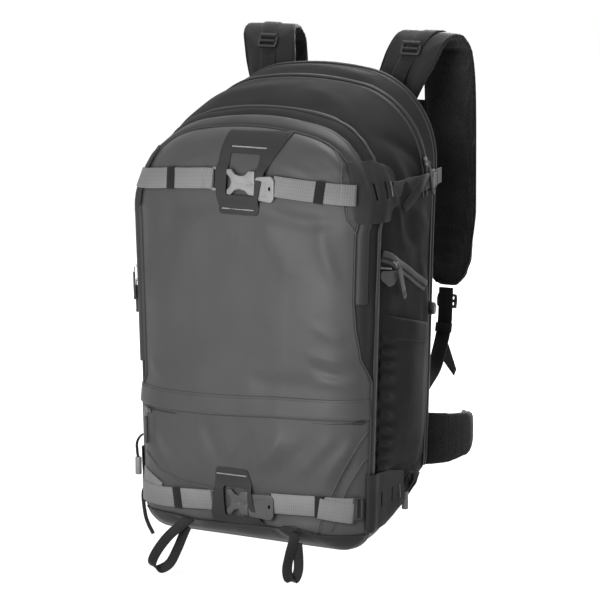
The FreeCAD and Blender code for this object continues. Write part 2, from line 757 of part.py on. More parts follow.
def ice_axe_loop(side):
    """Webbing that hangs in a narrow U below the base."""
    top = loop_anchor(side)
    foot_x, foot_z = LOOP_DROP[side][1:]
    down = V(foot_x - top.x, 0, foot_z - top.z)
    ahead = V(0, -LOOP_GAP, 0)
    front = [top + V(0, 0, LOOP_STUB), top + down * 0.3 + ahead * 0.8, top + down * 0.92 + ahead]
    rear = [top + down * 0.92, top + down * 0.15]
    route = front + [top + down + ahead * 0.5] + rear
    across = V(0, 1, 0).cross(down).normalize()
    return strip(route, dim("loop_webbing"), dim("webbing"), across)


def build_ice_axe_loops():
    """The two loops under the base."""
    for side in ("left", "right"):
        feature(f"ice_axe_loop_{side}", ice_axe_loop(side))


# ---------------------------------------------------------------- zip sliders and pulls
SLIDER_SEAT = COIL_OUT + dim("slider_gap")
MAIN_SLIDER_LIFT = 0.5  # more room where the top slopes under the slider
PULL_OUT = dim("slider_height") + 0.4


def surface_frame(point_at, a, b):
    """Seat, run and outward normal of a slider between two points of a surface."""
    start = point_at(*a)
    run = (point_at(*b) - start).normalize()
    return start, run


def build_slider(name, place, pull_top, hang, out):
    """A slider on its coil and the pull that hangs from it."""
    body = plate(f"{name}_slider", "Dims.slider_length", "Dims.slider_width", "Dims.slider_height",
                 "Dims.slider_width * 0.3")
    body.Placement = place
    keep(body, f"{name}_slider")
    pull = plate(f"{name}_pull", "Dims.pull_length", "Dims.pull_width", "Dims.pull_plate", "Dims.pull_width * 0.45")
    centre = pull_top + V(hang).normalize() * (dim("pull_length") / 2)
    pull.Placement = facing(centre, hang, out)
    keep(pull, f"{name}_pull")


def front_slider_seat(z):
    """Seat, upward run and outward normal of a front zip slider on the left side."""
    seat = side_point(-1, FRONT_ZIP_Y, z, SLIDER_SEAT)
    up = (side_point(-1, FRONT_ZIP_Y, z + 50, SLIDER_SEAT) - seat).normalize()
    ahead = side_point(-1, FRONT_ZIP_Y - 3, z, SLIDER_SEAT) - side_point(-1, FRONT_ZIP_Y + 3, z, SLIDER_SEAT)
    return seat, up, ahead.cross(up).normalize()


FRONT_SLIDERS = {"front_upper": (321.0, -3.6), "front_lower": (304.0, 3.6)}  # height, pull shift
POCKET_SLIDER_X = -136.0
POCKET_TRAVEL_X = (-100.0, -64.0)
MAIN_SLIDER_TURN = 10.0
MAIN_PULL_LIFT = 1.0  # the main zip's pull hangs clear of the compression strap
DOWN = V(0, 0, -1)


def pocket_slider_circle():
    """Centre (x, y) and radius of the circle that the lower pocket's slider follows."""
    z = dim("pocket_line") - dim("ply_gap") - dim("tape_width") / 4
    spots = [front_point(x, z, SLIDER_SEAT + 0.3) for x in (POCKET_SLIDER_X, *POCKET_TRAVEL_X)]
    circle = Part.Arc(*[V(p.x, p.y, 0) for p in spots]).toShape().Curve
    return circle.Center, circle.Radius, spots[0]


def build_sliders():
    """Every zip slider with its pull, seated on its coil."""
    for name, (z, shift) in FRONT_SLIDERS.items():
        seat, up, out = front_slider_seat(z)
        top = seat + out * PULL_OUT + out.cross(up) * shift
        build_slider(name, facing(seat, up, out), top, up * -1, out)

    centre, radius, seat = pocket_slider_circle()
    out = (V(seat.x, seat.y, 0) - centre).normalize()
    along = V(-out.y, out.x, 0)
    build_slider("pocket", facing(seat, along, out), seat + out * PULL_OUT, DOWN, out)

    start, run = surface_frame(lambda y, z: side_point(1, y, z, SLIDER_SEAT), SIDE_ZIP_ENDS[0], SIDE_ZIP_ENDS[1])
    seat = start + run * (dim("slider_length") * 0.8)
    out = V(0, run.z, -run.y).cross(run) * -1
    out = out if out.x > 0 else out * -1
    build_slider("side", facing(seat, run, out), seat + out * PULL_OUT, DOWN, out)

    corner = flank("zip")
    hub = corner.centre()
    reach = corner.corner + SLIDER_SEAT + MAIN_SLIDER_LIFT
    turn = math.radians(MAIN_SLIDER_TURN)
    out = V(math.cos(turn), 0, math.sin(turn))
    seat = hub + out * reach
    pull_top = seat + out * PULL_OUT + V(MAIN_PULL_LIFT, 0, 0)
    build_slider("main", facing(seat, V(-out.z, 0, out.x), out), pull_top, DOWN, V(1, 0, 0))


# ---------------------------------------------------------------- back door, frame and pads
def rear_plate(inset, y0, thick):
    """A plate with the outline of the back rim, set in by an inset."""
    station = flank("rear")
    face = Part.Face(station.wire(-inset))
    face.translate(V(0, y0 - station.depth, 0))
    return face.extrude(V(0, thick, 0))


DOOR_IN = dim("rear_depth") + dim("door_gap")
DOOR_OUT = DOOR_IN + dim("door_plate")
HINGE = V(0, DOOR_OUT, dim("door_foot") - 2.0)


def build_back():
    """Fixed yoke, back door, frame sheet, stays, back pads and lumbar pad."""
    back = rear_plate(dim("ply"), DOOR_IN, dim("door_plate"))
    half = dim("yoke_half")
    foot = dim("yoke_foot")
    gap = dim("yoke_gap")
    yoke = block(-half, half, -REACH, REACH, foot, 2 * REACH)
    notch = block(-half - gap, half + gap, -REACH, REACH, foot - gap, 2 * REACH)
    feature("yoke_panel", back.common(yoke))
    below = block(-REACH, REACH, -REACH, REACH, -REACH, dim("door_foot"))
    feature("back_door", back.cut(notch).cut(below))

    gap = dim("ply_gap")
    back_side = V(0, 1, 0)
    sheet_low = dim("door_foot") + 20
    sheet_mid = sheet_low + dim("sheet_length") / 2
    body = plate("frame_sheet", "Dims.sheet_width", "Dims.sheet_length", "Dims.sheet_plate", "Dims.sheet_width * 0.16")
    body.Placement = facing(V(0, DOOR_IN - gap - dim("sheet_plate"), sheet_mid), V(-1, 0, 0), back_side)
    keep(body, "frame_sheet")

    stay = plate("frame_stay", "Dims.stay_width", "Dims.sheet_length - 30", "Dims.stay_plate",
                 "Dims.stay_width * 0.4")
    stay_y = DOOR_IN - 2 * gap - dim("sheet_plate") - dim("stay_plate")
    sides = (-1, 1)
    places = [facing(V(s * dim("stay_offset"), stay_y, sheet_mid), V(-1, 0, 0), back_side) for s in sides]
    copies("frame_stays", stay, places)

    pad = plate("back_pad", "Dims.pad_width", "Dims.pad_length", "Dims.pad_plate", "Dims.pad_width * 0.3")
    lumbar_low = dim("door_foot") + 4
    pad_low = lumbar_low + dim("lumbar_height") + 12
    pad_y = DOOR_OUT + gap
    pad_mid = pad_low + dim("pad_length") / 2
    places = [facing(V(s * dim("pad_offset"), pad_y, pad_mid), V(-1, 0, 0), back_side) for s in sides]
    copies("back_pads", pad, places)

    lumbar = plate("lumbar_pad", "Dims.lumbar_width", "Dims.lumbar_height", "Dims.lumbar_plate",
                   "Dims.lumbar_height * 0.2")
    lumbar.Placement = facing(V(0, pad_y, lumbar_low + dim("lumbar_height") / 2), V(-1, 0, 0), back_side)
    keep(lumbar, "lumbar_pad")


def haul_loop():
    """The carrying loop: an upright arch of doubled webbing on two sewn feet."""
    half = dim("haul_half")
    foot = dim("haul_foot")
    crown = dim("haul_crown") + dim("haul_plate") / 2
    y = DOOR_OUT + dim("ply_gap") + dim("haul_width") / 2
    route = [V(-half, y, foot), V(-half, y, crown - 14), V(-half + 12, y, crown), V(half - 12, y, crown),
             V(half, y, crown - 14), V(half, y, foot)]
    return strip(route, dim("haul_width"), dim("haul_plate"), V(0, 1, 0))


# ---------------------------------------------------------------- harness
def strap_route():
    """Middle line of the right shoulder strap, from the back door over to its lower end."""
    y = DOOR_OUT + dim("ply_gap") + dim("strap_plate") / 2
    return [V(74, y, 446), V(79, y + 1.5, 498), V(94, y + 13, 552), V(108, y + 33, 592), V(115, y + 66, 590),
            V(119, y + 86, 548), V(122, y + 86, 400), V(124, y + 80, 335), V(125, y + 71, 280)]


def offset_route(points, distance):
    """A route beside another, to the outside of a strap that curves in an upright plane."""
    normals = []
    for start, end in zip(points, points[1:]):
        run = end - start
        normals.append(V(0, -run.z, run.y).normalize())
    normals = normals[:1] + normals + normals[-1:]
    moved = []
    for point, before, after in zip(points, normals, normals[1:]):
        mitre = (before + after) * (1.0 / (1.0 + before.dot(after)))
        moved.append(point + mitre * distance)
    return moved


STRAP_SHARE = 0.3


def shoulder_strap():
    """The padded right shoulder strap, narrowed and rounded at its lower end."""
    route = strap_route()
    pad = strip(route, dim("strap_width"), dim("strap_plate"), V(1, 0, 0), STRAP_SHARE)
    end = route[-1]
    half = dim("strap_width") / 2
    taper = [(end.x - half - 60, end.z - 20), (end.x - half + 24, end.z - 20), (end.x - half + 14, end.z + 30),
             (end.x - half - 2, end.z + 110), (end.x - half - 60, end.z + 110)]
    other_side = [(2 * end.x - x, z) for x, z in taper]
    behind = end.y - 30
    for outline in (taper, other_side):
        pad = pad.cut(front_prism(outline, behind, REACH))
    return pad


def lifter_route():
    """Load lifter: from the door's upper edge to the strap, then along it as a tail."""
    route = strap_route()
    near = offset_route(route, dim("strap_plate") / 2 + dim("webbing") / 2 + 0.9)
    foot = V(near[2].x - 4, DOOR_OUT + dim("webbing"), near[2].z - 24)
    middle = V(near[2].x, near[2].y - 2.5, near[2].z + 6)
    return [foot, middle, near[3], near[4]]


def lower_route():
    """Webbing from the strap's lower end back to the door, above the hip belt wing."""
    end = strap_route()[-1]
    y = DOOR_OUT + dim("webbing")
    return [end + V(0, -0.5, -1.5), end + V(1, -6, -50), end + V(1, -34, -98), V(126, y + 10, 160), V(125, y, 152)]


def ladder_lock_places():
    """Where the ladder locks sit: on the load lifters and at the straps' lower ends."""
    route = lifter_route()
    lift = dim("webbing") / 2 + 0.3
    run = (route[2] - route[1]).normalize()
    out = V(0, -run.z, run.y)
    upper = facing(route[1] + (route[2] - route[1]) * 0.5 + out * lift, V(1, 0, 0), out)
    low = lower_route()
    fall = (low[1] - low[0]).normalize()
    back = V(0, -fall.z, fall.y)
    lower = facing(low[0] + (low[1] - low[0]) * 0.32 + back * lift, V(1, 0, 0), back)
    return [upper, lower]


def build_harness():
    """Shoulder straps, load lifters, lower straps, ladder locks and sternum strap."""
    right = shoulder_strap()
    feature("shoulder_strap_right", right)
    feature("shoulder_strap_left", mirrored(right))
    lifter = strip(lifter_route(), dim("narrow_webbing"), dim("webbing"), V(1, 0, 0), STRAP_SHARE)
    group("load_lifters", [lifter, mirrored(lifter)])
    lower = strip(lower_route(), dim("narrow_webbing"), dim("webbing"), V(1, 0, 0))
    group("lower_straps", [lower, mirrored(lower)])
    bars = [("0", "Dims.buckle_rim * 1.1", "Dims.narrow_webbing", "Dims.buckle_rim"),
            ("0", "-Dims.buckle_rim * 1.1", "Dims.narrow_webbing", "Dims.buckle_rim")]
    lock = plate("ladder_lock", "Dims.narrow_webbing + 2 * Dims.buckle_rim", "Dims.buckle_rim * 5.4",
                 "Dims.buckle_plate", "Dims.buckle_rim", bars)
    locks = [lock.Shape.transformed(place.toMatrix()) for place in ladder_lock_places()]
    group("ladder_locks", locks + [mirrored(item) for item in locks])
    build_sternum()
    return lock


STERNUM_Z = 500.0


def build_sternum():
    """The sternum strap: two clips that slide on the shoulder straps, webbing and buckle."""
    route = strap_route()
    y = route[5].y + dim("strap_plate") / 2 + 0.4
    clip_x = (route[5].x + route[6].x) / 2
    clip = plate("sternum_clip", "Dims.narrow_webbing + 2 * Dims.buckle_rim", "Dims.narrow_webbing",
                 "Dims.buckle_plate", "Dims.buckle_rim")
    places = [facing(V(s * clip_x, y, STERNUM_Z), V(-1, 0, 0), V(0, 1, 0)) for s in (-1, 1)]
    copies("sternum_clips", clip, places)
    web_y = y + dim("buckle_plate") + 0.2 + dim("webbing") / 2
    buckle_half = dim("buckle_length") * 0.9
    inner = buckle_half + 0.3
    band = strip([V(inner, web_y, STERNUM_Z), V(clip_x * 0.55, web_y, STERNUM_Z - 0.8),
                  V(clip_x + 8, web_y, STERNUM_Z)], dim("narrow_webbing"), dim("webbing"), V(0, 0, 1))
    group("sternum_webbing", [band, mirrored(band)])
    buckle = plate("sternum_buckle", "Dims.buckle_length * 1.8", "Dims.narrow_webbing + 2 * Dims.buckle_rim",
                   "Dims.buckle_plate * 2", "Dims.buckle_rim * 1.5")
    buckle.Placement = facing(V(0, web_y - dim("buckle_plate"), STERNUM_Z), V(-1, 0, 0), V(0, 1, 0))
    keep(buckle, "sternum_buckle")


WING_ROOT = V(dim("lumbar_width") / 2 + 1.6, DOOR_OUT + dim("ply_gap") + 7, 0)
WING_AXIS = V(dim("lumbar_width") / 2 + 0.8, DOOR_OUT + dim("ply_gap") + 14.5, 0)


def wing_level():
    """Mid-height of the hip belt."""
    return dim("door_foot") + 4 + dim("lumbar_height") / 2


def hip_wing():
    """The padded right wing of the hip belt, curved back around the hips."""
    root = V(WING_ROOT.x, WING_ROOT.y, wing_level())
    route = [root, root + V(32, 6, 0), root + V(53, 27, 0), root + V(58, 60, 0), root + V(49, 88, 0)]
    return strip(route, dim("wing_height"), dim("wing_plate"), V(0, 0, 1)), route[-1]


def build_hip_belt():
    """Both hip belt wings with their webbing and buckle halves."""
    wing, tip = hip_wing()
    feature("hip_wing_right", wing)
    feature("hip_wing_left", mirrored(wing))
    run = V(-9, 28, 0).normalize()
    start = tip + run * 0.3
    band = strip([start, start + run * 14, start + run * 24 + V(-6, 0, 0)], dim("webbing_width"), dim("webbing"),
                 V(0, 0, 1))
    half = plate("hip_buckle", "Dims.buckle_length", "Dims.webbing_width + 2 * Dims.buckle_rim",
                 "Dims.buckle_plate * 1.6", "Dims.buckle_rim * 1.5")
    across = (V(-6, 0, 0) + run * 10).normalize()
    end = start + run * 24 + V(-6, 0, 0)
    seat = end + across * (dim("buckle_length") / 2 + 0.3)
    normal = across.cross(V(0, 0, 1)).normalize()
    place = facing(seat - normal * (dim("buckle_plate") * 0.8), across, normal)
    buckle = half.Shape.transformed(place.toMatrix())
    group("hip_strap_right", [band, buckle])
    group("hip_strap_left", [mirrored(band), mirrored(buckle)])


# ---------------------------------------------------------------- whole pack
ORIGIN = V(0, DOOR_OUT + dim("ply_gap") + dim("haul_width") / 2, dim("haul_crown"))


def build_all():
    """Build every sub-part and move it into the pack's own frame."""
    build_shells()
    build_boot()
    build_zips()
    build_side_pockets()
    build_patches()
    build_front_straps()
    build_compression_straps()
    build_ice_axe_loops()
    build_sliders()
    build_back()
    feature("haul_loop", haul_loop())
    build_harness()
    build_hip_belt()
    doc.recompute()
    shift = FreeCAD.Placement(ORIGIN * -1, FreeCAD.Rotation())
    for obj in OBJECTS:
        obj.Placement = shift * obj.Placement
    doc.recompute()


def check_and_write():
    """Stop on any failed object or bad solid, then write one file per sub-part."""
    for obj in doc.Objects:
        if {"Invalid", "Error"} & set(obj.State):
            raise RuntimeError(f"{obj.Name} failed: {obj.State}")
    for obj in OBJECTS:
        if obj.Shape.isNull() or not obj.Shape.isValid() or not obj.Shape.Solids:
            raise RuntimeError(f"{obj.Label} has no valid solid")
    os.makedirs("parts", exist_ok=True)
    for obj in OBJECTS:
        obj.Shape.exportStep(f"parts/{obj.Label}.step")
        print(f"{obj.Label}: {len(obj.Shape.Solids)} solids, {obj.Shape.Volume:.0f} mm3")
    print(len(OBJECTS), "sub-parts")


build_all()
check_and_write()
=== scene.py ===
"""Looks of a ski backpack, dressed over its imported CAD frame.

Lengths are in millimetres on the maker's bench: +X to the right as seen from the
front, +Y towards the wearer's back, +Z up, with z = 0 under the front edge of the
base.  to_frame turns bench points into metres in the pack's own frame.
"""
import logging
import math
from dataclasses import dataclass
from enum import Enum
from typing import Callable, Sequence

import bmesh
import bpy
import numpy as np
from mathutils import Matrix, Vector, noise
from mathutils.bvhtree import BVHTree


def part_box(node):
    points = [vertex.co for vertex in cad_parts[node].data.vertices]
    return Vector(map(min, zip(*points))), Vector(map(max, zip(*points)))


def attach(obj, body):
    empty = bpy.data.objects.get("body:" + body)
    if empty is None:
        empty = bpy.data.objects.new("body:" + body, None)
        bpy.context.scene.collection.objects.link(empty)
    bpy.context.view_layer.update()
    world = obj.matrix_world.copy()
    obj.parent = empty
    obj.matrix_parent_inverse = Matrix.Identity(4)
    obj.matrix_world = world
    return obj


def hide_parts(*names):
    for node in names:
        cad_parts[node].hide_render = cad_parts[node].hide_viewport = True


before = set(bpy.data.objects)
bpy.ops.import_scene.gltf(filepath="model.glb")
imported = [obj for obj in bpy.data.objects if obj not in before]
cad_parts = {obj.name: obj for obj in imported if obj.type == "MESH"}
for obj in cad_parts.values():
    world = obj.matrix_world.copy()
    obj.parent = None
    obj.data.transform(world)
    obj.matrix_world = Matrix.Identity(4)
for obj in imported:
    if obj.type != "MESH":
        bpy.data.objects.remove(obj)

logging.basicConfig(level=logging.INFO, format="%(message)s")
LOG = logging.getLogger("ski_backpack")

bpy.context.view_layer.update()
MM = 0.001
DOOR_IN = 108.4  # bench depth of the back door's inner face
BENCH = np.array([0.0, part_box("back_door")[0].y / MM - DOOR_IN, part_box("lower_pocket_panel")[0].z / MM])

Array = np.ndarray
Outline = Sequence[tuple[float, float]]


# ---------------------------------------------------------------- points and meshes
def to_frame(points: Array) -> Array:
    """Bench millimetres to metres in the pack's frame."""
    return (np.asarray(points, float) + BENCH) * MM


def to_bench(points: Array) -> Array:
    """Metres in the pack's frame to bench millimetres."""
    return np.asarray(points, float) / MM - BENCH


def node_box(node: str) -> tuple[Array, Array]:
    """Lowest and highest corner of a CAD node, in bench millimetres."""
    low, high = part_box(node)
    return to_bench(low), to_bench(high)


def unit(vectors: Array) -> Array:
    """Vectors scaled to length one."""
    vectors = np.asarray(vectors, float)
    length = np.linalg.norm(vectors, axis=-1, keepdims=True)
    return vectors / np.maximum(length, 1e-9)


def smooth_step(value: Array, low: float, high: float) -> Array:
    """0 below low, 1 above high, and a soft ramp between."""
    share = np.clip((np.asarray(value, float) - low) / (high - low), 0, 1)
    return share * share * (3 - 2 * share)


def tidy(obj: bpy.types.Object, merge: float = 0.0) -> bpy.types.Object:
    """Merge doubles if asked, and turn every face outwards.

    Args:
        obj: a mesh object.
        merge: merge distance in millimetres, 0 for none.

    Returns:
        The same object.
    """
    mesh = bmesh.new()
    mesh.from_mesh(obj.data)
    if merge:
        bmesh.ops.remove_doubles(mesh, verts=mesh.verts, dist=merge * MM)
    bmesh.ops.recalc_face_normals(mesh, faces=mesh.faces)
    mesh.to_mesh(obj.data)
    mesh.free()
    return obj


def make_mesh(name: str, points: Array, faces: list, uvs: list | None = None) -> bpy.types.Object:
    """A smooth-shaded mesh object from bench points.

    Args:
        name: the piece's name.
        points: (n, 3) bench points.
        faces: vertex indices of each face.
        uvs: (u, v) in metres for each corner of each face, in the faces' order.

    Returns:
        The new object, linked to the scene.
    """
    data = bpy.data.meshes.new(name)
    data.from_pydata(to_frame(points).tolist(), [], faces)
    if uvs is not None:
        layer = data.uv_layers.new(name="cloth")
        layer.data.foreach_set("uv", np.asarray(uvs, np.float32).ravel())
    data.shade_smooth()
    obj = bpy.data.objects.new(name, data)
    bpy.context.scene.collection.objects.link(obj)
    return obj


def grid_faces(rows: int, columns: int, wrap: bool) -> list:
    """Quads of a grid of vertices, row by row, joined round in a ring if wrap is set."""
    faces = []
    for row in range(rows - 1):
        for column in range(columns if wrap else columns - 1):
            after = (column + 1) % columns
            faces.append((row * columns + column, row * columns + after,
                          (row + 1) * columns + after, (row + 1) * columns + column))
    return faces


def select_only(obj: bpy.types.Object) -> None:
    """Make one object the only selected one, and the active one."""
    bpy.ops.object.select_all(action="DESELECT")
    obj.select_set(True)
    bpy.context.view_layer.objects.active = obj


def apply_modifiers(obj: bpy.types.Object) -> bpy.types.Object:
    """Apply all modifiers of an object, in order."""
    select_only(obj)
    for modifier in list(obj.modifiers):
        bpy.ops.object.modifier_apply(modifier=modifier.name)
    return obj


def thicken(obj: bpy.types.Object, thickness: float, inward: bool = True) -> bpy.types.Object:
    """Give a sheet its thickness in millimetres, on its inner or outer side."""
    solid = obj.modifiers.new("Thickness", "SOLIDIFY")
    solid.thickness = thickness * MM
    solid.offset = -1 if inward else 1
    return apply_modifiers(obj)


def bevel_edges(obj: bpy.types.Object, width: float, segments: int = 2,
                angle: float = 35) -> bpy.types.Object:
    """Round an object's sharp edges by a width in millimetres."""
    bevel = obj.modifiers.new("Edges", "BEVEL")
    bevel.width = width * MM
    bevel.segments = segments
    bevel.limit_method = "ANGLE"
    bevel.angle_limit = math.radians(angle)
    bevel.harden_normals = False
    return apply_modifiers(obj)


def soften(obj: bpy.types.Object, angle: float = 35) -> bpy.types.Object:
    """Shade an object smooth except across its sharp edges."""
    select_only(obj)
    bpy.ops.object.shade_smooth_by_angle(angle=math.radians(angle))
    return obj


def join(name: str, objects: Sequence[bpy.types.Object]) -> bpy.types.Object:
    """Join meshes into one named object."""
    bpy.ops.object.select_all(action="DESELECT")
    for obj in objects:
        obj.select_set(True)
    bpy.context.view_layer.objects.active = objects[0]
    if len(objects) > 1:
        bpy.ops.object.join()
    objects[0].name = name
    objects[0].data.name = name
    return objects[0]


def mirrored(obj: bpy.types.Object, name: str) -> bpy.types.Object:
    """A copy of an object on the other side of the pack, with its own mesh."""
    twin = obj.copy()
    twin.data = obj.data.copy()
    twin.name = name
    bpy.context.scene.collection.objects.link(twin)
    twin.data.transform(Matrix.Scale(-1, 4, Vector((1, 0, 0))))
    twin.data.flip_normals()
    return twin


# ---------------------------------------------------------------- sweeps
@dataclass
class Track:
    """A line through space with its side and outward directions at each point."""

    points: Array
    sides: Array
    outs: Array

    def length(self) -> Array:
        """Distance along the track at each point."""
        steps = np.linalg.norm(np.diff(self.points, axis=0), axis=1)
        return np.concatenate([[0.0], np.cumsum(steps)])

    def moved(self, side: float = 0.0, out: float = 0.0) -> "Track":
        """The track moved sideways and outwards."""
        return Track(self.points + self.sides * side + self.outs * out, self.sides, self.outs)

    def sampled(self, step: float) -> "Track":
        """The track with evenly spaced points."""
        along = self.length()
        count = max(2, int(round(along[-1] / step)) + 1)
        places = np.linspace(0, along[-1], count)

        def at(values: Array) -> Array:
            """Values read at the new places."""
            return np.stack([np.interp(places, along, values[:, axis]) for axis in range(3)], axis=1)

        return Track(at(self.points), unit(at(self.sides)), unit(at(self.outs)))


def track_through(points: Array, outs: Array) -> Track:
    """A track whose sides lie square to its run and its outward directions."""
    points = np.asarray(points, float)
    run = unit(np.gradient(points, axis=0))
    outs = np.broadcast_to(np.asarray(outs, float), points.shape)
    sides = unit(np.cross(outs, run))
    return Track(points, sides, unit(np.cross(run, sides)))


def curve_through(knots: Sequence[Sequence[float]], step: float = 4.0) -> Array:
    """A smooth line through given points, evenly sampled (Catmull-Rom)."""
    knots = np.asarray(knots, float)
    padded = np.vstack([2 * knots[0] - knots[1], knots, 2 * knots[-1] - knots[-2]])
    spots = []
    for before, start, end, after in zip(padded, padded[1:], padded[2:], padded[3:]):
        count = max(2, int(np.linalg.norm(end - start) / step))
        for share in np.linspace(0, 1, count, endpoint=False):
            a = 2 * start
            b = end - before
            c = 2 * before - 5 * start + 4 * end - after
            d = 3 * start - before - 3 * end + after
            spots.append(0.5 * (a + b * share + c * share ** 2 + d * share ** 3))
    spots.append(knots[-1])
    return np.array(spots)


def flat_section(width: float, thick: float, base: float = 0.0, edge_steps: int = 3) -> Outline:
    """Cross-section of a flat strap: square faces, rounded edges, standing on base."""
    half = width / 2 - thick / 2
    outline = []
    for side, start in ((1, -90), (-1, 90)):
        for step in range(edge_steps + 1):
            angle = math.radians(start + 180 * step / edge_steps)
            outline.append((side * half + thick / 2 * math.cos(angle),
                            base + thick / 2 + thick / 2 * math.sin(angle)))
    return outline


def round_section(wide: float, high: float, base: float = 0.0, count: int = 10) -> Outline:
    """An elliptic cross-section, centred on base."""
    angles = [2 * math.pi * step / count for step in range(count)]
    return [(wide / 2 * math.cos(angle), base + high / 2 * math.sin(angle)) for angle in angles]


def sweep(name: str, track: Track, section: Outline, closed: bool = False,
          width: Array | None = None) -> bpy.types.Object:
    """Carry a cross-section along a track.

    Args:
        name: the piece's name.
        track: where it runs.
        section: closed outline of (side, out) millimetres.
        closed: join the last section to the first.
        width: scale of the side direction at each point of the track.

    Returns:
        A closed mesh whose UVs are in metres, across and along.
    """
    outline = np.asarray(section, float)
    count = len(outline)
    scale = np.ones(len(track.points)) if width is None else width
    points = (track.points[:, None] + track.sides[:, None] * (outline[None, :, :1] * scale[:, None, None])
              + track.outs[:, None] * outline[None, :, 1:])
    rows = len(track.points)
    around = np.concatenate([[0], np.cumsum(np.linalg.norm(np.diff(np.vstack([outline, outline[:1]]),
                                                                   axis=0), axis=1))])
    along = track.length()
    faces = grid_faces(rows, count, True)
    uvs = []
    for row in range(rows - 1):
        for column in range(count):
            u0, u1, v0, v1 = around[column], around[column + 1], along[row], along[row + 1]
            uvs += [(u0, v0), (u1, v0), (u1, v1), (u0, v1)]
    if closed:
        gap = float(np.linalg.norm(track.points[0] - track.points[-1]))
        last = (rows - 1) * count
        for column in range(count):
            after = (column + 1) % count
            faces.append((last + column, last + after, after, column))
            u0, u1, v0, v1 = around[column], around[column + 1], along[-1], along[-1] + gap
            uvs += [(u0, v0), (u1, v0), (u1, v1), (u0, v1)]
    else:
        for ring in (range(count)[::-1], range((rows - 1) * count, rows * count)):
            faces.append(tuple(ring))
            uvs += [(around[index % count], 0.0) for index in ring]
    obj = make_mesh(name, points.reshape(-1, 3), faces, np.array(uvs) * MM)
    return tidy(obj)


# ---------------------------------------------------------------- materials
def linear(code: str) -> tuple[float, float, float, float]:
    """The linear colour of an sRGB hex code such as "4a4a4c"."""
    values = [int(code[start:start + 2], 16) / 255 for start in (0, 2, 4)]
    red, green, blue = (v / 12.92 if v <= 0.04045 else ((v + 0.055) / 1.055) ** 2.4 for v in values)
    return red, green, blue, 1.0


class Pattern(Enum):
    """The relief that a surface's finish carries."""

    GRAIN = "fine grain of a coating or a moulded part"
    RIBS = "webbing ribs along the strap with picks across"
    KNIT = "upright knitted ribs"
    MESH = "open cells of spacer mesh"
    BRUSHED = "fine lines of drawn or tumbled metal"


@dataclass(frozen=True)
class Finish:
    """A material's looks, with its sizes in millimetres."""

    name: str
    colour: str
    # the colour painted into the relief's hollows as shade, and into the darker random clouds
    shade: str
    roughness: float
    pattern: Pattern
    pitch: float
    depth: float
    slot: str
    metallic: float = 0.0
    sheen: float = 0.0
    coat: float = 0.0
    cloud: float = 45.0
    specular: float = 0.5


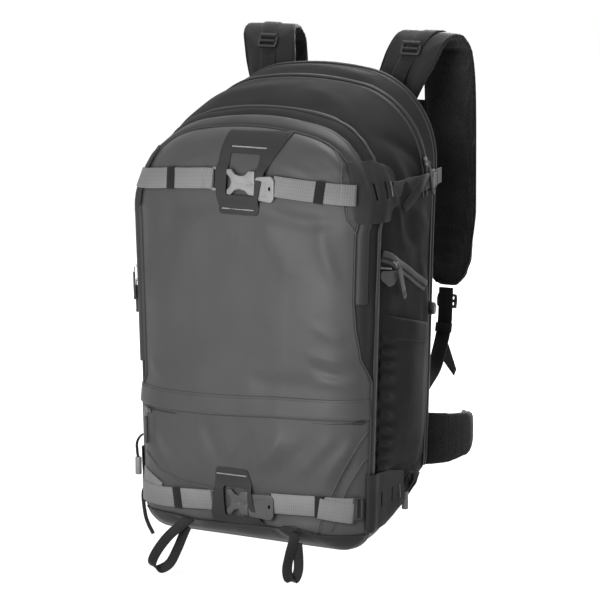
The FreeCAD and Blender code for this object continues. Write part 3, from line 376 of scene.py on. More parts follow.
FINISHES = {
    # a coated pack cloth: dark grey, satin, broad soft highlights, clouded by handling
    "shell": Finish("coated_pack_cloth", "4f4f4f", "464646", 0.52, Pattern.GRAIN, 0.9, 0.035,
                    "coated_fabric", sheen=0.05, coat=0.02, cloud=70, specular=0.28),
    # the same cloth on the sides and top, painted a touch darker as the shade that these faces sit in
    "body": Finish("coated_cloth_painted_side_shade", "3a3a3a", "333333", 0.72, Pattern.GRAIN, 0.9, 0.035, "shell_fabric",
                   cloud=70, specular=0.06),
    # rubbery film over cloth: darker and glossier, with a leathery grain
    "boot": Finish("coated_boot_film", "272727", "202020", 0.46, Pattern.GRAIN, 1.4, 0.06, "boot_fabric",
                   coat=0.05, cloud=60, specular=0.2),
    # woven lining seen when the back is open: paler plain weave
    "lining": Finish("woven_lining", "6e6e6e", "616161", 0.72, Pattern.GRAIN, 0.7, 0.04, "shell_fabric",
                     specular=0.15),
    # rolled edges of the pack cloth, smoother where they are rubbed
    "piping": Finish("covered_piping", "3a3a3a", "333333", 0.5, Pattern.GRAIN, 0.8, 0.03, "piping",
                     coat=0.08, specular=0.3),
    # laminated zip tape: matt film with a slight sheen
    "tape": Finish("laminated_zip_tape", "3a3a3a", "323232", 0.5, Pattern.GRAIN, 0.6, 0.02, "zip_tape",
                   coat=0.05, specular=0.2),
    # zip coil: near black nylon; the same colour paints the shade down in the zip slits and seam gaps
    "coil": Finish("nylon_coil_and_painted_gap_shade", "1c1c1c", "141414", 0.45, Pattern.GRAIN, 0.5, 0.02, "zip_tape"),
    # laser-cut laminate of the patches: flat, firm, finely pebbled
    "patch": Finish("laminate_patch", "3e3e3e", "373737", 0.68, Pattern.GRAIN, 0.55, 0.045, "patch",
                    specular=0.14),
    # pale grey polyester webbing, ribbed along its length
    "grey_web": Finish("grey_webbing", "909090", "7b7b7b", 0.68, Pattern.RIBS, 2.7, 0.16, "grey_webbing",
                       sheen=0.15, specular=0.15),
    # black polyester webbing
    "black_web": Finish("black_webbing", "2c2c2c", "1f1f1f", 0.6, Pattern.RIBS, 2.7, 0.16, "black_webbing",
                        sheen=0.2, specular=0.12),
    # woven elastic of the keepers
    "elastic": Finish("woven_elastic", "2a2a2a", "1e1e1e", 0.7, Pattern.RIBS, 0.9, 0.12, "elastic",
                      sheen=0.15, specular=0.12),
    # grey acetal of the upper buckle, lightly textured
    "grey_plastic": Finish("grey_acetal", "959595", "858585", 0.42, Pattern.GRAIN, 0.5, 0.02,
                           "grey_plastic"),
    # dark acetal of the other buckles
    "black_plastic": Finish("black_acetal", "2b2b2b", "222222", 0.4, Pattern.GRAIN, 0.5, 0.025,
                            "black_plastic"),
    # dark grey acetal of the lower buckle
    "dark_plastic": Finish("dark_grey_acetal", "4c4c4c", "424242", 0.4, Pattern.GRAIN, 0.5, 0.025,
                           "grey_plastic"),
    # blackened zinc, bright on its rubbed edges
    "slider": Finish("gunmetal", "8a8a8a", "4a4a4a", 0.32, Pattern.BRUSHED, 1.1, 0.02, "slider_metal",
                     metallic=1.0),
    # rubber-dipped zip pulls
    "pull": Finish("moulded_pull", "333333", "292929", 0.5, Pattern.GRAIN, 0.6, 0.03, "pull_cord"),
    # stretch cloth of the side pockets, finely ribbed
    "stretch": Finish("stretch_cloth", "333333", "2b2b2b", 0.8, Pattern.KNIT, 3.4, 0.10, "stretch_fabric",
                      sheen=0.04, specular=0.1),
    # plain woven cloth of the back
    "back": Finish("woven_back_cloth", "333333", "2a2a2a", 0.7, Pattern.GRAIN, 0.8, 0.05, "back_fabric",
                   sheen=0.1, specular=0.1),
    # spacer mesh of everything that rests on the wearer
    "mesh": Finish("spacer_mesh", "454545", "2b2b2b", 0.8, Pattern.MESH, 2.6, 0.7, "mesh_pad", sheen=0.2,
                   specular=0.06),
    # outer cloth of the shoulder straps, satin woven
    "strap": Finish("strap_cloth", "323232", "2a2a2a", 0.55, Pattern.GRAIN, 0.8, 0.04, "back_fabric",
                    sheen=0.08, specular=0.14),
    # stiff polyethylene frame sheet
    "sheet": Finish("frame_sheet_plastic", "282828", "202020", 0.5, Pattern.GRAIN, 1.2, 0.04, "frame_sheet"),
    # bare aluminium stays
    "stay": Finish("aluminium_stay", "bbbbbb", "9e9e9e", 0.35, Pattern.BRUSHED, 1.5, 0.02, "stay_metal",
                   metallic=1.0),
    # pale thread of the bar-tacks
    "tack": Finish("pale_thread", "c0c0c0", "a5a5a5", 0.75, Pattern.GRAIN, 0.4, 0.04, "grey_webbing"),
    # dark thread of the seams
    "thread": Finish("dark_thread", "2b2b2b", "202020", 0.7, Pattern.GRAIN, 0.4, 0.04, "black_webbing"),
}


class MaterialMaker:
    """Builds each finish's node material once and puts it on pieces."""

    def __init__(self) -> None:
        """Start with no material made."""
        self.made: dict[str, bpy.types.Material] = {}

    @staticmethod
    def node(tree: bpy.types.NodeTree, kind: str, values: dict | None = None,
             **settings: object) -> bpy.types.Node:
        """Add a node.

        Args:
            tree: the material's node tree.
            kind: the node's type name.
            values: input name or index, to a constant or to another node's output socket.
            settings: properties of the node itself.

        Returns:
            The new node.
        """
        made = tree.nodes.new(kind)
        for key, value in settings.items():
            setattr(made, key, value)
        for key, value in (values or {}).items():
            if isinstance(value, bpy.types.NodeSocket):
                tree.links.new(value, made.inputs[key])
            else:
                made.inputs[key].default_value = value
        return made

    def math(self, tree: bpy.types.NodeTree, operation: str, *values: object) -> bpy.types.NodeSocket:
        """The output of a math node over constants or sockets."""
        return self.node(tree, "ShaderNodeMath", dict(enumerate(values)), operation=operation).outputs[0]

    def noise(self, tree: bpy.types.NodeTree, place: bpy.types.NodeSocket, size: float,
              detail: float = 3.0) -> bpy.types.NodeSocket:
        """Noise whose lumps are about size millimetres across."""
        values = {"Vector": place, "Scale": 1 / (size * MM), "Detail": detail, "Roughness": 0.55}
        return self.node(tree, "ShaderNodeTexNoise", values).outputs["Fac"]

    def wave(self, tree: bpy.types.NodeTree, along: bpy.types.NodeSocket,
             pitch: float) -> bpy.types.NodeSocket:
        """A smooth 0 to 1 wave along a distance in metres, one turn each pitch millimetres."""
        turns = self.math(tree, "MULTIPLY", along, 2 * math.pi / (pitch * MM))
        sine = self.math(tree, "SINE", turns)
        return self.math(tree, "MULTIPLY_ADD", sine, 0.5, 0.5)

    def relief(self, tree: bpy.types.NodeTree, finish: Finish,
               place: bpy.types.NodeSocket) -> bpy.types.NodeSocket:
        """The finish's pattern as a height from 0 to 1."""
        grain = self.noise(tree, place, finish.pitch, 2)
        if finish.pattern is Pattern.RIBS:
            uv = self.node(tree, "ShaderNodeUVMap", uv_map="cloth").outputs[0]
            split = self.node(tree, "ShaderNodeSeparateXYZ", {0: uv})
            rib = self.wave(tree, split.outputs[0], finish.pitch * 1.6)
            pick = self.wave(tree, split.outputs[1], finish.pitch)
            both = self.math(tree, "MULTIPLY_ADD", pick, 0.6, self.math(tree, "MULTIPLY", rib, 0.2))
            return self.math(tree, "MULTIPLY_ADD", grain, 0.2, both)
        if finish.pattern is Pattern.KNIT:
            split = self.node(tree, "ShaderNodeSeparateXYZ", {0: place})
            rib = self.wave(tree, split.outputs[1], finish.pitch)
            stitch = self.wave(tree, split.outputs[2], finish.pitch * 0.7)
            both = self.math(tree, "MULTIPLY_ADD", stitch, 0.3, self.math(tree, "MULTIPLY", rib, 0.5))
            return self.math(tree, "MULTIPLY_ADD", grain, 0.3, both)
        if finish.pattern is Pattern.MESH:
            values = {"Vector": place, "Scale": 1 / (finish.pitch * MM), "Randomness": 0.35}
            cell = self.node(tree, "ShaderNodeTexVoronoi", values,
                             feature="DISTANCE_TO_EDGE").outputs["Distance"]
            wall = self.node(tree, "ShaderNodeMapRange", {0: cell, 1: 0.06, 2: 0.24, 3: 1.0,
                                                          4: 0.0}).outputs[0]
            return self.math(tree, "MULTIPLY_ADD", grain, 0.2, self.math(tree, "MULTIPLY", wall, 0.8))
        if finish.pattern is Pattern.BRUSHED:
            drawn = self.node(tree, "ShaderNodeMapping", {"Vector": place,
                                                          "Scale": (1.0, 1.0, 0.12)}).outputs[0]
            return self.noise(tree, drawn, finish.pitch * 0.4, 2)
        fine = self.noise(tree, place, finish.pitch * 0.35, 2)
        return self.math(tree, "MULTIPLY_ADD", fine, 0.5, self.math(tree, "MULTIPLY", grain, 0.5))

    def material(self, key: str) -> bpy.types.Material:
        """The material of a finish, built on first use."""
        if key in self.made:
            return self.made[key]
        finish = FINISHES[key]
        made = bpy.data.materials.new(finish.name)
        made.use_nodes = True
        tree = made.node_tree
        tree.nodes.clear()
        place = self.node(tree, "ShaderNodeTexCoord").outputs["Object"]
        height = self.relief(tree, finish, place)
        cloud = self.noise(tree, place, finish.cloud, 4)
        # painted shade in the relief's hollows, mixed with random clouds of handling: low spots lean to the
        # shade colour
        hollow_shade_and_clouds = self.math(tree, "MULTIPLY_ADD", height, 0.45, self.math(tree, "MULTIPLY", cloud, 0.65))
        tone = self.node(tree, "ShaderNodeMapRange", {0: hollow_shade_and_clouds, 1: 0.3, 2: 0.75, 3: 0.0, 4: 1.0}).outputs[0]
        mixer = self.node(tree, "ShaderNodeMix", {0: tone, 6: linear(finish.shade),
                                                  7: linear(finish.colour)}, data_type="RGBA")
        rough = self.node(tree, "ShaderNodeMapRange", {0: cloud, 1: 0.25, 2: 0.75,
                                                       3: finish.roughness + 0.05,
                                                       4: finish.roughness - 0.05}).outputs[0]
        bump = self.node(tree, "ShaderNodeBump", {"Strength": 1.0, "Distance": finish.depth * MM,
                                                  "Height": height})
        values = {"Base Color": mixer.outputs[2], "Roughness": rough, "Metallic": finish.metallic,
                  "Sheen Weight": finish.sheen, "Coat Weight": finish.coat, "Coat Roughness": 0.35,
                  "Specular IOR Level": finish.specular, "Normal": bump.outputs[0]}
        shader = self.node(tree, "ShaderNodeBsdfPrincipled", values)
        self.node(tree, "ShaderNodeOutputMaterial", {"Surface": shader.outputs[0]})
        made.diffuse_color = linear(finish.colour)
        self.made[key] = made
        return made

    def dress(self, obj: bpy.types.Object, key: str) -> bpy.types.Object:
        """Put one finish on a whole piece."""
        obj.data.materials.clear()
        obj.data.materials.append(self.material(key))
        return obj


PAINT = MaterialMaker()


def piece(obj: bpy.types.Object, body: str, key: str, *nodes: str) -> bpy.types.Object:
    """Finish a piece: its material, the body it rides on and the CAD nodes it stands for.

    Args:
        obj: the finished mesh.
        body: CAD body that carries it.
        key: its finish.
        nodes: CAD nodes that it replaces.

    Returns:
        The same object.
    """
    PAINT.dress(obj, key)
    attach(obj, body)
    if nodes:
        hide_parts(*nodes)
    LOG.info("%s: %d faces on %s", obj.name, len(obj.data.polygons), body)
    return obj


# ---------------------------------------------------------------- the pack's form
@dataclass(frozen=True)
class BodyForm:
    """The pack body as an arch that changes from the back rim to the front's plateau."""

    depths: tuple[float, ...] = (-65.0, -40.0, 60.0, 108.0)
    halves: tuple[float, ...] = (165.0, 166.0, 160.0, 150.0)
    tops: tuple[float, ...] = (500.0, 511.0, 547.0, 560.0)
    bases: tuple[float, ...] = (0.0, 2.0, 34.0, 50.0)
    rise: float = 41.0
    inset: float = 96.0
    base_inset: float = 60.0
    corner: float = 105.0
    crown: float = 420.0
    foot: float = 34.0
    taper: float = 10.0
    shares: tuple[float, ...] = (0.0, 0.16, 0.34, 0.80, 0.87, 1.0)

    def section(self, q: Array) -> tuple[Array, ...]:
        """Depth, half width, top, base and inset of the arch at q: 0 back rim, 1 seam, 2 plateau, 3 middle."""
        q = np.asarray(q, float)
        flank_y = self.depths[-1] + (self.depths[0] - self.depths[-1]) * np.clip(q, 0, 1)
        half, top, base = (np.interp(flank_y, self.depths, row)
                           for row in (self.halves, self.tops, self.bases))
        turn = np.radians(90 * np.clip(q - 1, 0, 1))
        inward = 1 - np.cos(turn)
        inset = self.inset * inward
        y = flank_y - self.rise * np.sin(turn)
        return y, half - inset, top - inset, base + self.base_inset * inward, inset

    def point(self, s: Array, q: Array) -> Array:
        """Point of the body's skin.

        Args:
            s: -1 to 1 from the middle of the sole up the left side, over the crown at 0, and down the right.
            q: how far forward, see section.

        Returns:
            (..., 3) bench points.
        """
        s, q = np.broadcast_arrays(np.asarray(s, float), np.asarray(q, float))
        y, half, top, base, inset = self.section(q)
        corner = self.corner - 0.6 * inset
        foot = self.foot - 0.1 * inset
        corner_x = half - corner
        reach = self.crown - corner
        corner_z = top - self.crown + np.sqrt(reach ** 2 - corner_x ** 2)
        lean = np.arcsin(corner_x / reach)
        turn_s = np.abs(s)
        parts = [np.clip((turn_s - low) / (high - low), 0, 1)
                 for low, high in zip(self.shares, self.shares[1:])]
        crown_turn = lean * parts[0]
        x = self.crown * np.sin(crown_turn)
        z = top - self.crown + self.crown * np.cos(crown_turn)
        corner_turn = lean + (math.pi / 2 - lean) * parts[1]
        x = np.where(parts[1] > 0, corner_x + corner * np.sin(corner_turn), x)
        z = np.where(parts[1] > 0, corner_z + corner * np.cos(corner_turn), z)
        foot_x = half - self.taper - foot
        x = np.where(parts[2] > 0, half - self.taper * parts[2], x)
        z = np.where(parts[2] > 0, corner_z + (base + foot - corner_z) * parts[2], z)
        foot_turn = math.pi / 2 * parts[3]
        x = np.where(parts[3] > 0, foot_x + foot * np.cos(foot_turn), x)
        z = np.where(parts[3] > 0, base + foot - foot * np.sin(foot_turn), z)
        x = np.where(parts[4] > 0, foot_x * (1 - parts[4]), x)
        z = np.where(parts[4] > 0, base, z)
        shrink = np.clip(3 - q, 0, 1)
        x = x * shrink
        z = 232.0 + (z - 232.0) * shrink
        return np.stack([np.sign(s) * x, y, z], axis=-1)

    def normal(self, s: Array, q: Array) -> Array:
        """Outward direction at a point of the skin."""
        step = 1e-3
        across = self.point(np.clip(s + step, -1, 1), q) - self.point(np.clip(s - step, -1, 1), q)
        forward = self.point(s, q + step) - self.point(s, np.asarray(q) - step)
        return unit(np.cross(forward, across))


@dataclass(frozen=True)
class Line:
    """A seam line in (y, z): upright below lean_start, then leaning back over the top."""

    low: float
    top: float
    right_foot: tuple[tuple[float, float], ...] = ()
    left_foot: tuple[tuple[float, float], ...] = ()
    lean_start: float = 385.0
    lean_end: float = 511.0

    def knots(self, left: bool = False) -> list[tuple[float, float]]:
        """The line's corners on one side as (height, depth), from below the sole to above the top."""
        foot = self.left_foot if left else self.right_foot
        lean = (self.top - self.low) / (self.lean_end - self.lean_start)
        lowest = foot[0][1] if foot else self.low
        return [(-60.0, lowest), *foot, (self.lean_start, self.low),
                (570.0, self.low + lean * (570 - self.lean_start))]

    def depth(self, z: Array, left: Array | bool = False) -> Array:
        """Depth y of the line at a height, on its right or its left side."""
        right_y, left_y = (np.interp(z, *zip(*self.knots(side))) for side in (False, True))
        return np.where(left, left_y, right_y)


FORM = BodyForm()
REAR_PIPING = Line(-63.0, -24.0)
FRONT_ZIP = Line(-78.0, -42.0)
MAIN_ZIP_DEPTH = 60.0   # bench depth of the upright plane that holds the main zip
DOOR_ZIP_DEPTH = 101.3  # the same for the back door's zip
FRONT_SEAM = Line(-88.0, -65.0, ((205.0, -70.0), (215.0, -73.5), (234.0, -81.5), (270.0, -86.0),
                                 (304.0, -88.0)), ((151.0, -70.0), (188.0, -88.0)))


def ring_place(s: Array, depth_at: Callable[[Array], Array]) -> Array:
    """How far forward (q) a seam line lies at each s, found by halving."""
    s = np.asarray(s, float)
    low, high = np.zeros_like(s), np.full_like(s, 2.0)
    for _ in range(32):
        middle = (low + high) / 2
        spot = FORM.point(s, middle)
        ahead = spot[..., 1] > depth_at(spot[..., 2], s < 0)
        low, high = np.where(ahead, middle, low), np.where(ahead, high, middle)
    return (low + high) / 2


def s_at_height(z: float, depth_at: Callable[[Array], Array]) -> float:
    """The s on the right side where a ring line passes a height."""
    places = np.linspace(0.1, 0.9, 400)
    heights = FORM.point(places, ring_place(places, depth_at))[:, 2]
    return float(np.interp(-z, -heights, places))


# ---------------------------------------------------------------- the skin and its relief
class Zone(Enum):
    """Which pair of axes a fold is drawn in."""

    FRONT = (0, 2)
    RIGHT = (1, 2)
    LEFT = (-1, 2)
    TOP = (0, 1)


@dataclass(frozen=True)
class Fold:
    """A soft ridge or hollow of the cloth along a line."""

    zone: Zone
    start: tuple[float, float]
    end: tuple[float, float]
    width: float
    height: float

    def relief(self, points: Array, outs: Array) -> Array:
        """Outward shift it gives to points, in millimetres."""
        first, second = self.zone.value
        flat = points[:, [abs(first), second]]
        start, end = np.array(self.start), np.array(self.end)
        run = end - start
        length = float(np.linalg.norm(run))
        run = run / length
        along = (flat - start) @ run
        aside = (flat - start) @ np.array([-run[1], run[0]])
        # a slight wander keeps the fold from being a ruled line
        aside = aside + self.width * 0.35 * np.sin(along / (self.width * 2.2) + start[0])
        ends = smooth_step(along, -0.25 * length, 0.25 * length) * (1 - smooth_step(along, 0.75 * length,
                                                                                    1.25 * length))
        facing = {Zone.FRONT: -outs[:, 1], Zone.RIGHT: outs[:, 0], Zone.LEFT: -outs[:, 0],
                  Zone.TOP: outs[:, 2]}
        return 1.5 * self.height * np.exp(-(aside / self.width) ** 2) * ends * smooth_step(facing[self.zone],
                                                                                           0.2, 0.6)


FOLDS = (
    # front panel: tension between the two patches, hollows under the strap
    Fold(Zone.FRONT, (44, 466), (128, 440), 11, 2.2),
    Fold(Zone.FRONT, (40, 452), (120, 420), 9, -2.0),
    Fold(Zone.FRONT, (-120, 478), (-40, 470), 16, 1.5),
    Fold(Zone.FRONT, (92, 480), (138, 452), 6, 1.8),
    Fold(Zone.FRONT, (78, 464), (134, 428), 5, -1.6),
    Fold(Zone.FRONT, (-60, 462), (-120, 446), 7, 1.8),
    Fold(Zone.FRONT, (30, 404), (124, 396), 9, -2.4),
    Fold(Zone.FRONT, (-120, 404), (-30, 408), 9, -1.8),
    Fold(Zone.FRONT, (-96, 398), (-128, 300), 13, -1.6),
    Fold(Zone.FRONT, (-70, 390), (-104, 250), 17, 1.5),
    Fold(Zone.FRONT, (38, 396), (84, 330), 15, 1.4),
    Fold(Zone.FRONT, (106, 396), (126, 330), 8, 1.8),
    Fold(Zone.FRONT, (100, 270), (138, 262), 7, 1.2),
    Fold(Zone.FRONT, (96, 240), (140, 228), 6, 1.6),
    Fold(Zone.FRONT, (100, 222), (140, 214), 5, -1.4),
    Fold(Zone.FRONT, (104, 206), (142, 203), 5, 1.2),
    Fold(Zone.FRONT, (20, 205), (100, 196), 12, -1.6),
    Fold(Zone.FRONT, (-130, 210), (-100, 186), 9, 1.4),
    # lower pocket: belly, tension up from the clasp and the hem
    Fold(Zone.FRONT, (-80, 118), (80, 112), 30, 3.0),
    Fold(Zone.FRONT, (-120, 128), (-60, 84), 9, 1.8),
    Fold(Zone.FRONT, (-134, 112), (-96, 76), 6, -1.8),
    Fold(Zone.FRONT, (-52, 140), (-20, 96), 10, -1.6),
    Fold(Zone.FRONT, (60, 136), (24, 96), 9, 1.7),
    Fold(Zone.FRONT, (92, 132), (50, 84), 9, -1.6),
    Fold(Zone.FRONT, (118, 140), (84, 92), 8, 1.6),
    Fold(Zone.FRONT, (142, 136), (112, 80), 5, 2.0),
    Fold(Zone.FRONT, (149, 118), (126, 66), 4, -1.6),
    Fold(Zone.FRONT, (20, 128), (-12, 92), 7, -1.5),
    Fold(Zone.FRONT, (-108, 32), (-50, 24), 6, 2.0),
    Fold(Zone.FRONT, (60, 26), (108, 30), 6, 2.2),
    Fold(Zone.FRONT, (40, 34), (66, 14), 5, 1.8),
    # lid: shallow pulls towards the corners
    Fold(Zone.TOP, (-90, 0), (-20, 22), 14, 1.6),
    Fold(Zone.TOP, (30, 12), (112, -8), 12, 1.6),
    Fold(Zone.TOP, (-20, -20), (70, -14), 7, -1.2),
    Fold(Zone.TOP, (-60, 84), (80, 80), 12, 1.6),
    # right side above the pocket
    Fold(Zone.RIGHT, (-20, 470), (30, 400), 13, 1.8),
    Fold(Zone.RIGHT, (0, 400), (60, 336), 12, -2.0),
    Fold(Zone.RIGHT, (30, 392), (84, 372), 10, 2.0),
    Fold(Zone.RIGHT, (-20, 366), (60, 352), 8, 1.6),
    Fold(Zone.RIGHT, (60, 330), (92, 250), 10, 1.8),
    Fold(Zone.RIGHT, (-44, 452), (-8, 380), 6, 1.6),
    Fold(Zone.RIGHT, (-10, 486), (56, 452), 8, -1.8),
    # left side, much the same
    Fold(Zone.RIGHT, (-10, 40), (70, 66), 9, 1.8),
    Fold(Zone.LEFT, (-16, 460), (40, 396), 13, 1.8),
    Fold(Zone.LEFT, (0, 390), (70, 340), 12, -2.0),
    Fold(Zone.LEFT, (20, 330), (86, 320), 9, 1.8),
    Fold(Zone.LEFT, (-10, 44), (70, 70), 9, 1.8),
)


def cloth_noise(points: Array, size: float, seed: float) -> Array:
    """Smooth noise about one size across, from -1 to 1, at each bench point."""
    shift = Vector((seed, seed * 1.7, -seed))
    return np.array([noise.noise(Vector(point) / size + shift) for point in points.tolist()])


@dataclass
class SkinGrid:
    """The visible skin of the pack body, with puffs between its seams, folds and small creases."""

    counts: tuple[int, ...] = (18, 32, 86, 12, 26)
    flank_rows: int = 40
    dome_rows: int = 26
    front_rows: int = 36
    seam_hold: float = 9.0
    front_bulge: float = 2.0
    ease_passes: int = 60

    def columns(self) -> Array:
        """The s of every column: right half, then left, without repeating the middles."""
        right = [np.linspace(low, high, count, endpoint=False)
                 for low, high, count in zip(FORM.shares, FORM.shares[1:], self.counts)]
        half = np.concatenate(right)
        return np.concatenate([half, [1.0], -half[:0:-1]])

    def rows(self) -> Array:
        """The q of every row, from the back rim to near the middle of the front."""
        return np.concatenate([
            np.linspace(0, 1, self.flank_rows, endpoint=False),
            np.linspace(1, 2, self.dome_rows, endpoint=False),
            np.linspace(2, 2.985, self.front_rows)])

    def puff(self, s: Array, q: Array, points: Array) -> Array:
        """Outward swell of each panel between its seams, in millimetres."""
        rear = ring_place(s, REAR_PIPING.depth)
        slit = ring_place(s, FRONT_ZIP.depth)
        seam = ring_place(s, FRONT_SEAM.depth)
        zip_q = (FORM.depths[-1] - MAIN_ZIP_DEPTH) / (FORM.depths[-1] - FORM.depths[0])
        upper = smooth_step(points[:, 2], 400, 430)
        over = smooth_step(FORM.normal(s, q)[:, 2], 0.1, 0.8)

        def swell(low: Array, high: Array, height: Array) -> Array:
            """A rounded swell between two seams."""
            share = np.clip((q - low) / np.maximum(high - low, 1e-6), 0, 1)
            return height * np.sin(np.pi * share) ** 0.8

        under = smooth_step(-FORM.normal(s, q)[:, 2], 0.3, 0.8)
        sides = (2.4 + 2.6 * over) * (1 - 0.8 * under)
        whole = swell(np.zeros_like(q), rear, sides)
        split = swell(np.zeros_like(q), np.full_like(q, zip_q), 2.0 + 1.2 * over)
        split = split + swell(np.full_like(q, zip_q), rear, sides + 1.4 * over)
        relief = whole * (1 - upper) + split * upper
        relief = relief + swell(rear, slit, 1.6 + 1.6 * over) + swell(slit, seam, 1.3)
        inward = np.clip((q - seam) / 0.5, 0, 1)
        return relief + 1.6 * np.sin(np.pi / 2 * inward) * (q > seam)

    def free(self, points: Array) -> Array:
        """How free the cloth is to crease: 0 on a seam or under a strap, 1 in the open."""
        share = np.ones(len(points))
        for line in (REAR_PIPING, FRONT_ZIP, FRONT_SEAM):
            share = share * smooth_step(np.abs(points[:, 1] - line.depth(points[:, 2], points[:, 0] < 0)),
                                        1.5, self.seam_hold)
        share = share * smooth_step(108 - points[:, 1], 4, 18)
        zipped = smooth_step(np.abs(points[:, 1] - MAIN_ZIP_DEPTH), 6, 14)
        return share * np.where(points[:, 2] > 405, zipped, 1.0)

    def strapped(self, points: Array) -> Array:
        """1 away from the front straps, small where they press on the cloth."""
        held = np.ones(len(points))
        for height in (434.0, 50.0):
            held = np.minimum(held, smooth_step(np.abs(points[:, 2] - height), 11, 24))
        ahead = points[:, 1] < -60
        return np.where(ahead, 0.25 + 0.75 * held, 1.0)

    def relief(self, s: Array, q: Array, points: Array, outs: Array) -> Array:
        """All of the skin's relief, in millimetres outwards."""
        creases = sum(fold.relief(points, outs) for fold in FOLDS)
        stretched = points * np.array([1.0, 1.0, 0.6])
        broad = cloth_noise(points, 95, 3.1) * 2.2
        middling = cloth_noise(stretched, 34, 7.7) * 0.8
        fine = np.abs(cloth_noise(points, 13, 11.3)) * 0.28
        side = smooth_step(np.abs(outs[:, 0]), 0.4, 0.9) + smooth_step(-outs[:, 2], 0.3, 0.8)
        loose = 1.0 + 0.7 * np.minimum(side, 1.0)
        both = creases + (broad + middling + fine) * loose
        return self.puff(s, q, points) * (0.35 + 0.65 * self.strapped(points)) + (
            both * self.free(points) * self.strapped(points))

    def base(self) -> tuple[Array, Array, Array]:
        """The s, q and points of the plain form, its front eased into one soft bulge."""
        columns, rows = self.columns(), self.rows()
        grid_q, grid_s = np.meshgrid(rows, columns, indexing="ij")
        points = FORM.point(grid_s, grid_q)
        shrink = np.clip(3 - rows, 0, 1)[:, None]
        depth = points[..., 1] - np.where(rows[:, None] > 2, self.front_bulge
                                          * np.sin(np.pi / 2 * (1 - shrink)) ** 2, 0.0)
        share = smooth_step(rows, 1.62, 1.8)[:, None]
        for _ in range(self.ease_passes):
            padded = np.vstack([depth[:1], depth, depth[-1:]])
            eased = (padded[:-2] + 2 * depth + padded[2:]) / 4
            depth = depth + (eased - depth) * share
        points[..., 1] = depth
        return grid_s.ravel(), grid_q.ravel(), points.reshape(-1, 3)

    def faces(self, inward: bool = False) -> list:
        """The grid's faces, with a fan that closes the middle of the front."""
        columns, rows = len(self.columns()), len(self.rows())
        last = (rows - 1) * columns
        faces = grid_faces(rows, columns, True)
        faces += [(last + c, last + (c + 1) % columns, rows * columns) for c in range(columns)]
        return [face[::-1] for face in faces] if inward else faces

    @staticmethod
    def closed(points: Array, columns: int) -> Array:
        """The grid's points, and the middle of its last row."""
        return np.vstack([points, points[-columns:].mean(axis=0)])

    def build(self) -> tuple[Array, list]:
        """The points and faces of the whole skin, open at the back."""
        s, q, points = self.base()
        outs = FORM.normal(s, q)
        outs[q > 2] = (0, -1, 0)
        points = points + outs * self.relief(s, q, points, outs)[:, None]
        return self.closed(points, len(self.columns())), self.faces(True)


@dataclass
class Surface:
    """A built skin that other pieces are laid on."""

    tree: BVHTree

    @classmethod
    def of(cls, points: Array, faces: list) -> "Surface":
        """The surface of a mesh in bench millimetres."""
        return cls(BVHTree.FromPolygons(points.tolist(), faces))

    def hit(self, start: Sequence[float], towards: Sequence[float]) -> tuple[Array, Array]:
        """First point met from start going towards, and the outward direction there."""
        place, normal, _, _ = self.tree.ray_cast(Vector(start), Vector(towards))
        if place is None:
            place, normal, _, _ = self.tree.find_nearest(Vector(start))
        out = np.array(normal)
        if out @ np.array(towards) > 0:
            out = -out
        return np.array(place), out

    def front(self, x: float, z: float) -> tuple[Array, Array]:
        """The front at (x, z)."""
        return self.hit((x, -400, z), (0, 1, 0))

    def side(self, sign: float, y: float, z: float) -> tuple[Array, Array]:
        """The right (1) or left (-1) side at (y, z)."""
        return self.hit((sign * 400, y, z), (-sign, 0, 0))

    def around(self, turn: float, z: float) -> tuple[Array, Array]:
        """The front as seen from an upright axis inside it: turn in degrees, right positive."""
        angle = math.radians(turn)
        away = np.array([math.sin(angle), -math.cos(angle), 0.0])
        return self.hit(np.array([0.0, 20.0, z]) + away * 400, -away)

    def nearest(self, point: Sequence[float]) -> tuple[Array, Array]:
        """The closest point of the surface, and its outward direction."""
        place, normal, _, _ = self.tree.find_nearest(Vector(point))
        return np.array(place), np.array(normal)


def bare_surface() -> Surface:
    """The body's plain form, with no relief."""
    grid = SkinGrid()
    points = grid.closed(grid.base()[2], len(grid.columns()))
    return Surface.of(points, grid.faces())


BARE = bare_surface()


def even_outs(outs: Array, passes: int = 6) -> Array:
    """Directions along a line, averaged with their neighbours so that they turn evenly."""
    for _ in range(passes):
        padded = np.vstack([outs[:1], outs, outs[-1:]])
        outs = unit(padded[:-2] + padded[1:-1] * 2 + padded[2:])
    return outs


def laid_track(surface: Surface, places: Array, lift: float, step: float = 3.5) -> Track:
    """A track along the surface nearest to given places, raised by a lift."""
    line = curve_through(places, step)
    hits = [surface.nearest(point) for point in line]
    outs = even_outs(np.array([hit[1] for hit in hits]))
    return track_through(np.array([hit[0] for hit in hits]) + outs * lift, outs)


def ring_track(surface: Surface, line_depth: Callable[[Array], Array], s_start: float, s_end: float,
               count: int, lift: float = 0.0) -> Track:
    """A track round the body along a seam line, on the built skin.

    Args:
        surface: the built skin.
        line_depth: depth y of the line at a height.
        s_start: where it starts, see BodyForm.point.
        s_end: where it ends.
        count: number of points.
        lift: how far above the skin.
    """
    s = np.linspace(s_start, s_end, count)
    q = ring_place(s, line_depth)
    points, outs = FORM.point(s, q), FORM.normal(s, q)
    hits = [surface.nearest(point) for point in points]
    points = np.array([hit[0] for hit in hits]) + outs * lift
    return track_through(points, outs)


